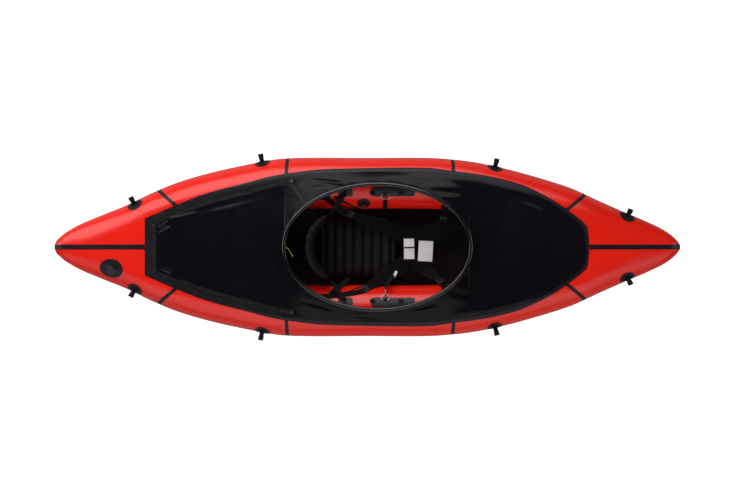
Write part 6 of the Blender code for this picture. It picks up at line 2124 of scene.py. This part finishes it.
def studio():
    """Camera, floor, world and soft lights: a bright port side, a weaker starboard side."""
    studio_camera()
    studio_floor()
    world = bpy.data.worlds.new("studio_air")
    world.use_nodes = True
    tree = world.node_tree
    air = tree.nodes["Background"]
    air.inputs["Color"].default_value = (1.0, 1.0, 1.0, 1.0)
    seen = tree.nodes.new("ShaderNodeLightPath").outputs["Is Camera Ray"]
    tree.links.new(mixed_value(tree, seen, 0.03, 1.0), air.inputs["Strength"])
    bpy.context.scene.world = world
    bpy.context.scene.view_settings.view_transform = "Standard"
    middle, warm = (0.0, 0.0, 0.1), (1.0, 0.98, 0.96)
    soft_light("port_softbox", (-0.9, 2.5, 2.0), (-0.3, 0.0, 0.1), (5.0, 2.6), 105, (1.0, 0.985, 1.0))
    soft_light("port_fill", (-1.3, 1.9, 2.6), (-0.4, 0.0, 0.1), (4.0, 2.0), 46, mirrored_on_gloss=False)
    soft_light("starboard_softbox", (0.0, -2.5, 1.6), middle, (6.0, 2.8), 42, warm)
    soft_light("starboard_fill", (0.3, -2.0, 2.2), (0.1, 0.0, 0.1), (5.0, 2.0), 40, warm, False)
    soft_light("stern_softbox", (-3.6, 0.6, 1.6), middle, (2.0, 1.6), 26)
    soft_light("bow_softbox", (3.8, 0.0, 1.8), middle, (2.4, 1.6), 20)


# Groups of like pieces

def hull_skins():
    """Side tubes and nose cones."""
    for side, word in SIDES:
        hull_tube(side, word)
    hull_cone(1, "bow")
    hull_cone(-1, "stern")


def hull_tapes():
    """Welded tapes over the hull's seams."""
    for side, word in SIDES:
        transverse_tape(side, word, REAR_SEAM_X, "rear")
        transverse_tape(side, word, FRONT_SEAM_X, "front")
        for seam, name in zip(CONE_SEAMS, ("stern_cone", "bow_cone")):
            slanted_tape(side, word, seam, name)
        floor_tape(side, word)
    centre_tape(1, "bow")
    centre_tape(-1, "stern")


def tie_downs():
    """The eight lashing loops on their patches."""
    for place_word, x, angle in TIE_DOWN_PLACES:
        for side, word in SIDES:
            tie_down(side, word, place_word, x, angle)


def rear_zip():
    """Both halves of the rear zip with their teeth, closed ends, slider and pull."""
    zip_tape()
    flap_zip_tape()
    line = zip_run(ZIP_LINE_DEPTH + PANEL_GAP / 2, STRIP_LIFT + SHEET + 0.0012)
    zip_teeth("zip_teeth_hull", "hull", line, 1, 0.0)
    zip_teeth("zip_teeth_flap", "rear_flap", line, -1, 0.5)
    for side, word in SIDES:
        zip_end(side, word)
    zip_slider_pieces()


# Add-on

class PackraftSizes(bpy.types.PropertyGroup):
    """Sizes that a user would change."""
    seam_draw: FloatProperty(
        name="Seam draw", description="How deep the welded seams draw the skin in",
        default=0.0015, min=0.0, max=0.004, precision=4, unit="LENGTH")
    pucker_depth: FloatProperty(
        name="Pucker depth", description="Height of the small puckers beside a welded seam",
        default=0.0005, min=0.0, max=0.002, precision=4, unit="LENGTH")
    fold_strength: FloatProperty(
        name="Fold strength", description="How strongly the deck is creased",
        default=1.0, min=0.0, max=2.0, subtype="FACTOR")
    floor_glow: FloatProperty(
        name="Floor glow", description="Light that the studio floor gives off", default=1.0, min=0.0)


class PackraftColours(bpy.types.PropertyGroup):
    """Colours that a user would change."""
    hull: FloatVectorProperty(
        name="Hull", description="Coated cloth of the tubes", default=(0.69, 0.012, 0.005),
        min=0.0, max=1.0, subtype="COLOR")
    deck: FloatVectorProperty(
        name="Deck", description="Coated cloth of the deck", default=(0.0045, 0.0037, 0.0055),
        min=0.0, max=1.0, subtype="COLOR")
    webbing: FloatVectorProperty(
        name="Webbing", description="Woven straps", default=(0.006, 0.0055, 0.0065),
        min=0.0, max=1.0, subtype="COLOR")
    cord: FloatVectorProperty(
        name="Cord", description="Braided pull cord", default=(0.62, 0.70, 0.06),
        min=0.0, max=1.0, subtype="COLOR")


class PACKRAFT_OT_studio(bpy.types.Operator):
    """Set up the floor, lights and camera"""
    bl_idname = "packraft.studio"
    bl_label = "Studio"

    def execute(self, context):
        studio()
        return {"FINISHED"}


class PACKRAFT_OT_pull_cord(bpy.types.Operator):
    """Make the coaming's pull cord"""
    bl_idname = "packraft.pull_cord"
    bl_label = "Pull cord"

    def execute(self, context):
        pull_cord()
        return {"FINISHED"}


class PACKRAFT_OT_hull_skins(bpy.types.Operator):
    """Make the tubes' and cones' skins"""
    bl_idname = "packraft.hull_skins"
    bl_label = "Hull skins"

    def execute(self, context):
        hull_skins()
        return {"FINISHED"}


class PACKRAFT_OT_hull_tapes(bpy.types.Operator):
    """Lay the welded tapes"""
    bl_idname = "packraft.hull_tapes"
    bl_label = "Seam tapes"

    def execute(self, context):
        hull_tapes()
        return {"FINISHED"}


class PACKRAFT_OT_floor_sheet(bpy.types.Operator):
    """Make the bottom sheet"""
    bl_idname = "packraft.floor_sheet"
    bl_label = "Floor"

    def execute(self, context):
        floor_sheet()
        return {"FINISHED"}


class PACKRAFT_OT_tie_downs(bpy.types.Operator):
    """Make the lashing loops on their patches"""
    bl_idname = "packraft.tie_downs"
    bl_label = "Tie-downs"

    def execute(self, context):
        tie_downs()
        return {"FINISHED"}


class PACKRAFT_OT_front_deck(bpy.types.Operator):
    """Make the front deck and its strip"""
    bl_idname = "packraft.front_deck"
    bl_label = "Front deck"

    def execute(self, context):
        seam_strip()
        front_deck_sheet()
        return {"FINISHED"}


class PACKRAFT_OT_rear_flap(bpy.types.Operator):
    """Make the rear deck that unzips"""
    bl_idname = "packraft.rear_flap"
    bl_label = "Rear deck"

    def execute(self, context):
        rear_flap_sheet()
        hinge_backing()
        return {"FINISHED"}


class PACKRAFT_OT_rear_zip(bpy.types.Operator):
    """Make the rear zip"""
    bl_idname = "packraft.rear_zip"
    bl_label = "Rear zip"

    def execute(self, context):
        rear_zip()
        return {"FINISHED"}


class PACKRAFT_OT_coaming(bpy.types.Operator):
    """Make the coaming's wall and hoop"""
    bl_idname = "packraft.coaming"
    bl_label = "Coaming"

    def execute(self, context):
        collar_band()
        hoop_sleeve()
        return {"FINISHED"}


class PACKRAFT_OT_seat(bpy.types.Operator):
    """Make the inflated seat"""
    bl_idname = "packraft.seat"
    bl_label = "Seat"

    def execute(self, context):
        seat()
        return {"FINISHED"}


class PACKRAFT_OT_backrest(bpy.types.Operator):
    """Make the inflated backrest"""
    bl_idname = "packraft.backrest"
    bl_label = "Backrest"

    def execute(self, context):
        backrest()
        return {"FINISHED"}


class PACKRAFT_OT_foot_brace(bpy.types.Operator):
    """Make the inflated foot brace"""
    bl_idname = "packraft.foot_brace"
    bl_label = "Foot brace"

    def execute(self, context):
        foot_brace()
        return {"FINISHED"}


class PACKRAFT_OT_thigh_straps(bpy.types.Operator):
    """Make the thigh straps and their anchors"""
    bl_idname = "packraft.thigh_straps"
    bl_label = "Thigh straps"

    def execute(self, context):
        thigh_straps()
        return {"FINISHED"}


class PACKRAFT_OT_labels(bpy.types.Operator):
    """Hang the bare labels"""
    bl_idname = "packraft.labels"
    bl_label = "Labels"

    def execute(self, context):
        hanging_labels()
        return {"FINISHED"}


class PACKRAFT_OT_backrest_straps(bpy.types.Operator):
    """Make the backrest's straps"""
    bl_idname = "packraft.backrest_straps"
    bl_label = "Backrest straps"

    def execute(self, context):
        backrest_straps()
        return {"FINISHED"}


class PACKRAFT_OT_loose_straps(bpy.types.Operator):
    """Make the crossing straps"""
    bl_idname = "packraft.loose_straps"
    bl_label = "Crossing straps"

    def execute(self, context):
        loose_straps()
        return {"FINISHED"}


class PACKRAFT_OT_rings(bpy.types.Operator):
    """Make the rings, hook and patches"""
    bl_idname = "packraft.rings"
    bl_label = "Rings and hook"

    def execute(self, context):
        ring_fittings()
        return {"FINISHED"}


class PACKRAFT_OT_valves(bpy.types.Operator):
    """Make both valves"""
    bl_idname = "packraft.valves"
    bl_label = "Valves"

    def execute(self, context):
        main_valve()
        mouth_valve()
        return {"FINISHED"}


OPERATORS = (
    PACKRAFT_OT_studio, PACKRAFT_OT_pull_cord, PACKRAFT_OT_hull_skins, PACKRAFT_OT_hull_tapes,
    PACKRAFT_OT_floor_sheet, PACKRAFT_OT_tie_downs, PACKRAFT_OT_front_deck, PACKRAFT_OT_rear_flap,
    PACKRAFT_OT_rear_zip, PACKRAFT_OT_coaming, PACKRAFT_OT_seat, PACKRAFT_OT_backrest,
    PACKRAFT_OT_foot_brace, PACKRAFT_OT_thigh_straps, PACKRAFT_OT_labels, PACKRAFT_OT_backrest_straps,
    PACKRAFT_OT_loose_straps, PACKRAFT_OT_rings, PACKRAFT_OT_valves,
)


class PACKRAFT_PT_pieces(bpy.types.Panel):
    """Lists the boat's pieces, sizes and colours."""
    bl_idname = "PACKRAFT_PT_pieces"
    bl_label = "Packraft"
    bl_space_type = "VIEW_3D"
    bl_region_type = "UI"
    bl_category = "Packraft"

    def draw(self, context):
        """Draws the properties and one button for each operator."""
        for group in (context.scene.packraft_sizes, context.scene.packraft_colours):
            for label in type(group).__annotations__:
                self.layout.prop(group, label)
        for maker in OPERATORS:
            self.layout.operator(maker.bl_idname)


GROUPS = (PackraftSizes, PackraftColours)


def register():
    """Registers the properties, operators and panel."""
    for group in (*GROUPS, *OPERATORS, PACKRAFT_PT_pieces):
        bpy.utils.register_class(group)
    bpy.types.Scene.packraft_sizes = PointerProperty(type=PackraftSizes)
    bpy.types.Scene.packraft_colours = PointerProperty(type=PackraftColours)


def unregister():
    """Removes what register added."""
    del bpy.types.Scene.packraft_colours
    del bpy.types.Scene.packraft_sizes
    for group in reversed((*GROUPS, *OPERATORS, PACKRAFT_PT_pieces)):
        bpy.utils.unregister_class(group)


def main():
    """Builds the studio and every piece."""
    register()
    for maker in OPERATORS:
        word = maker.bl_idname.split(".")[1]
        getattr(bpy.ops.packraft, word)()


if __name__ == "__main__":
    main()
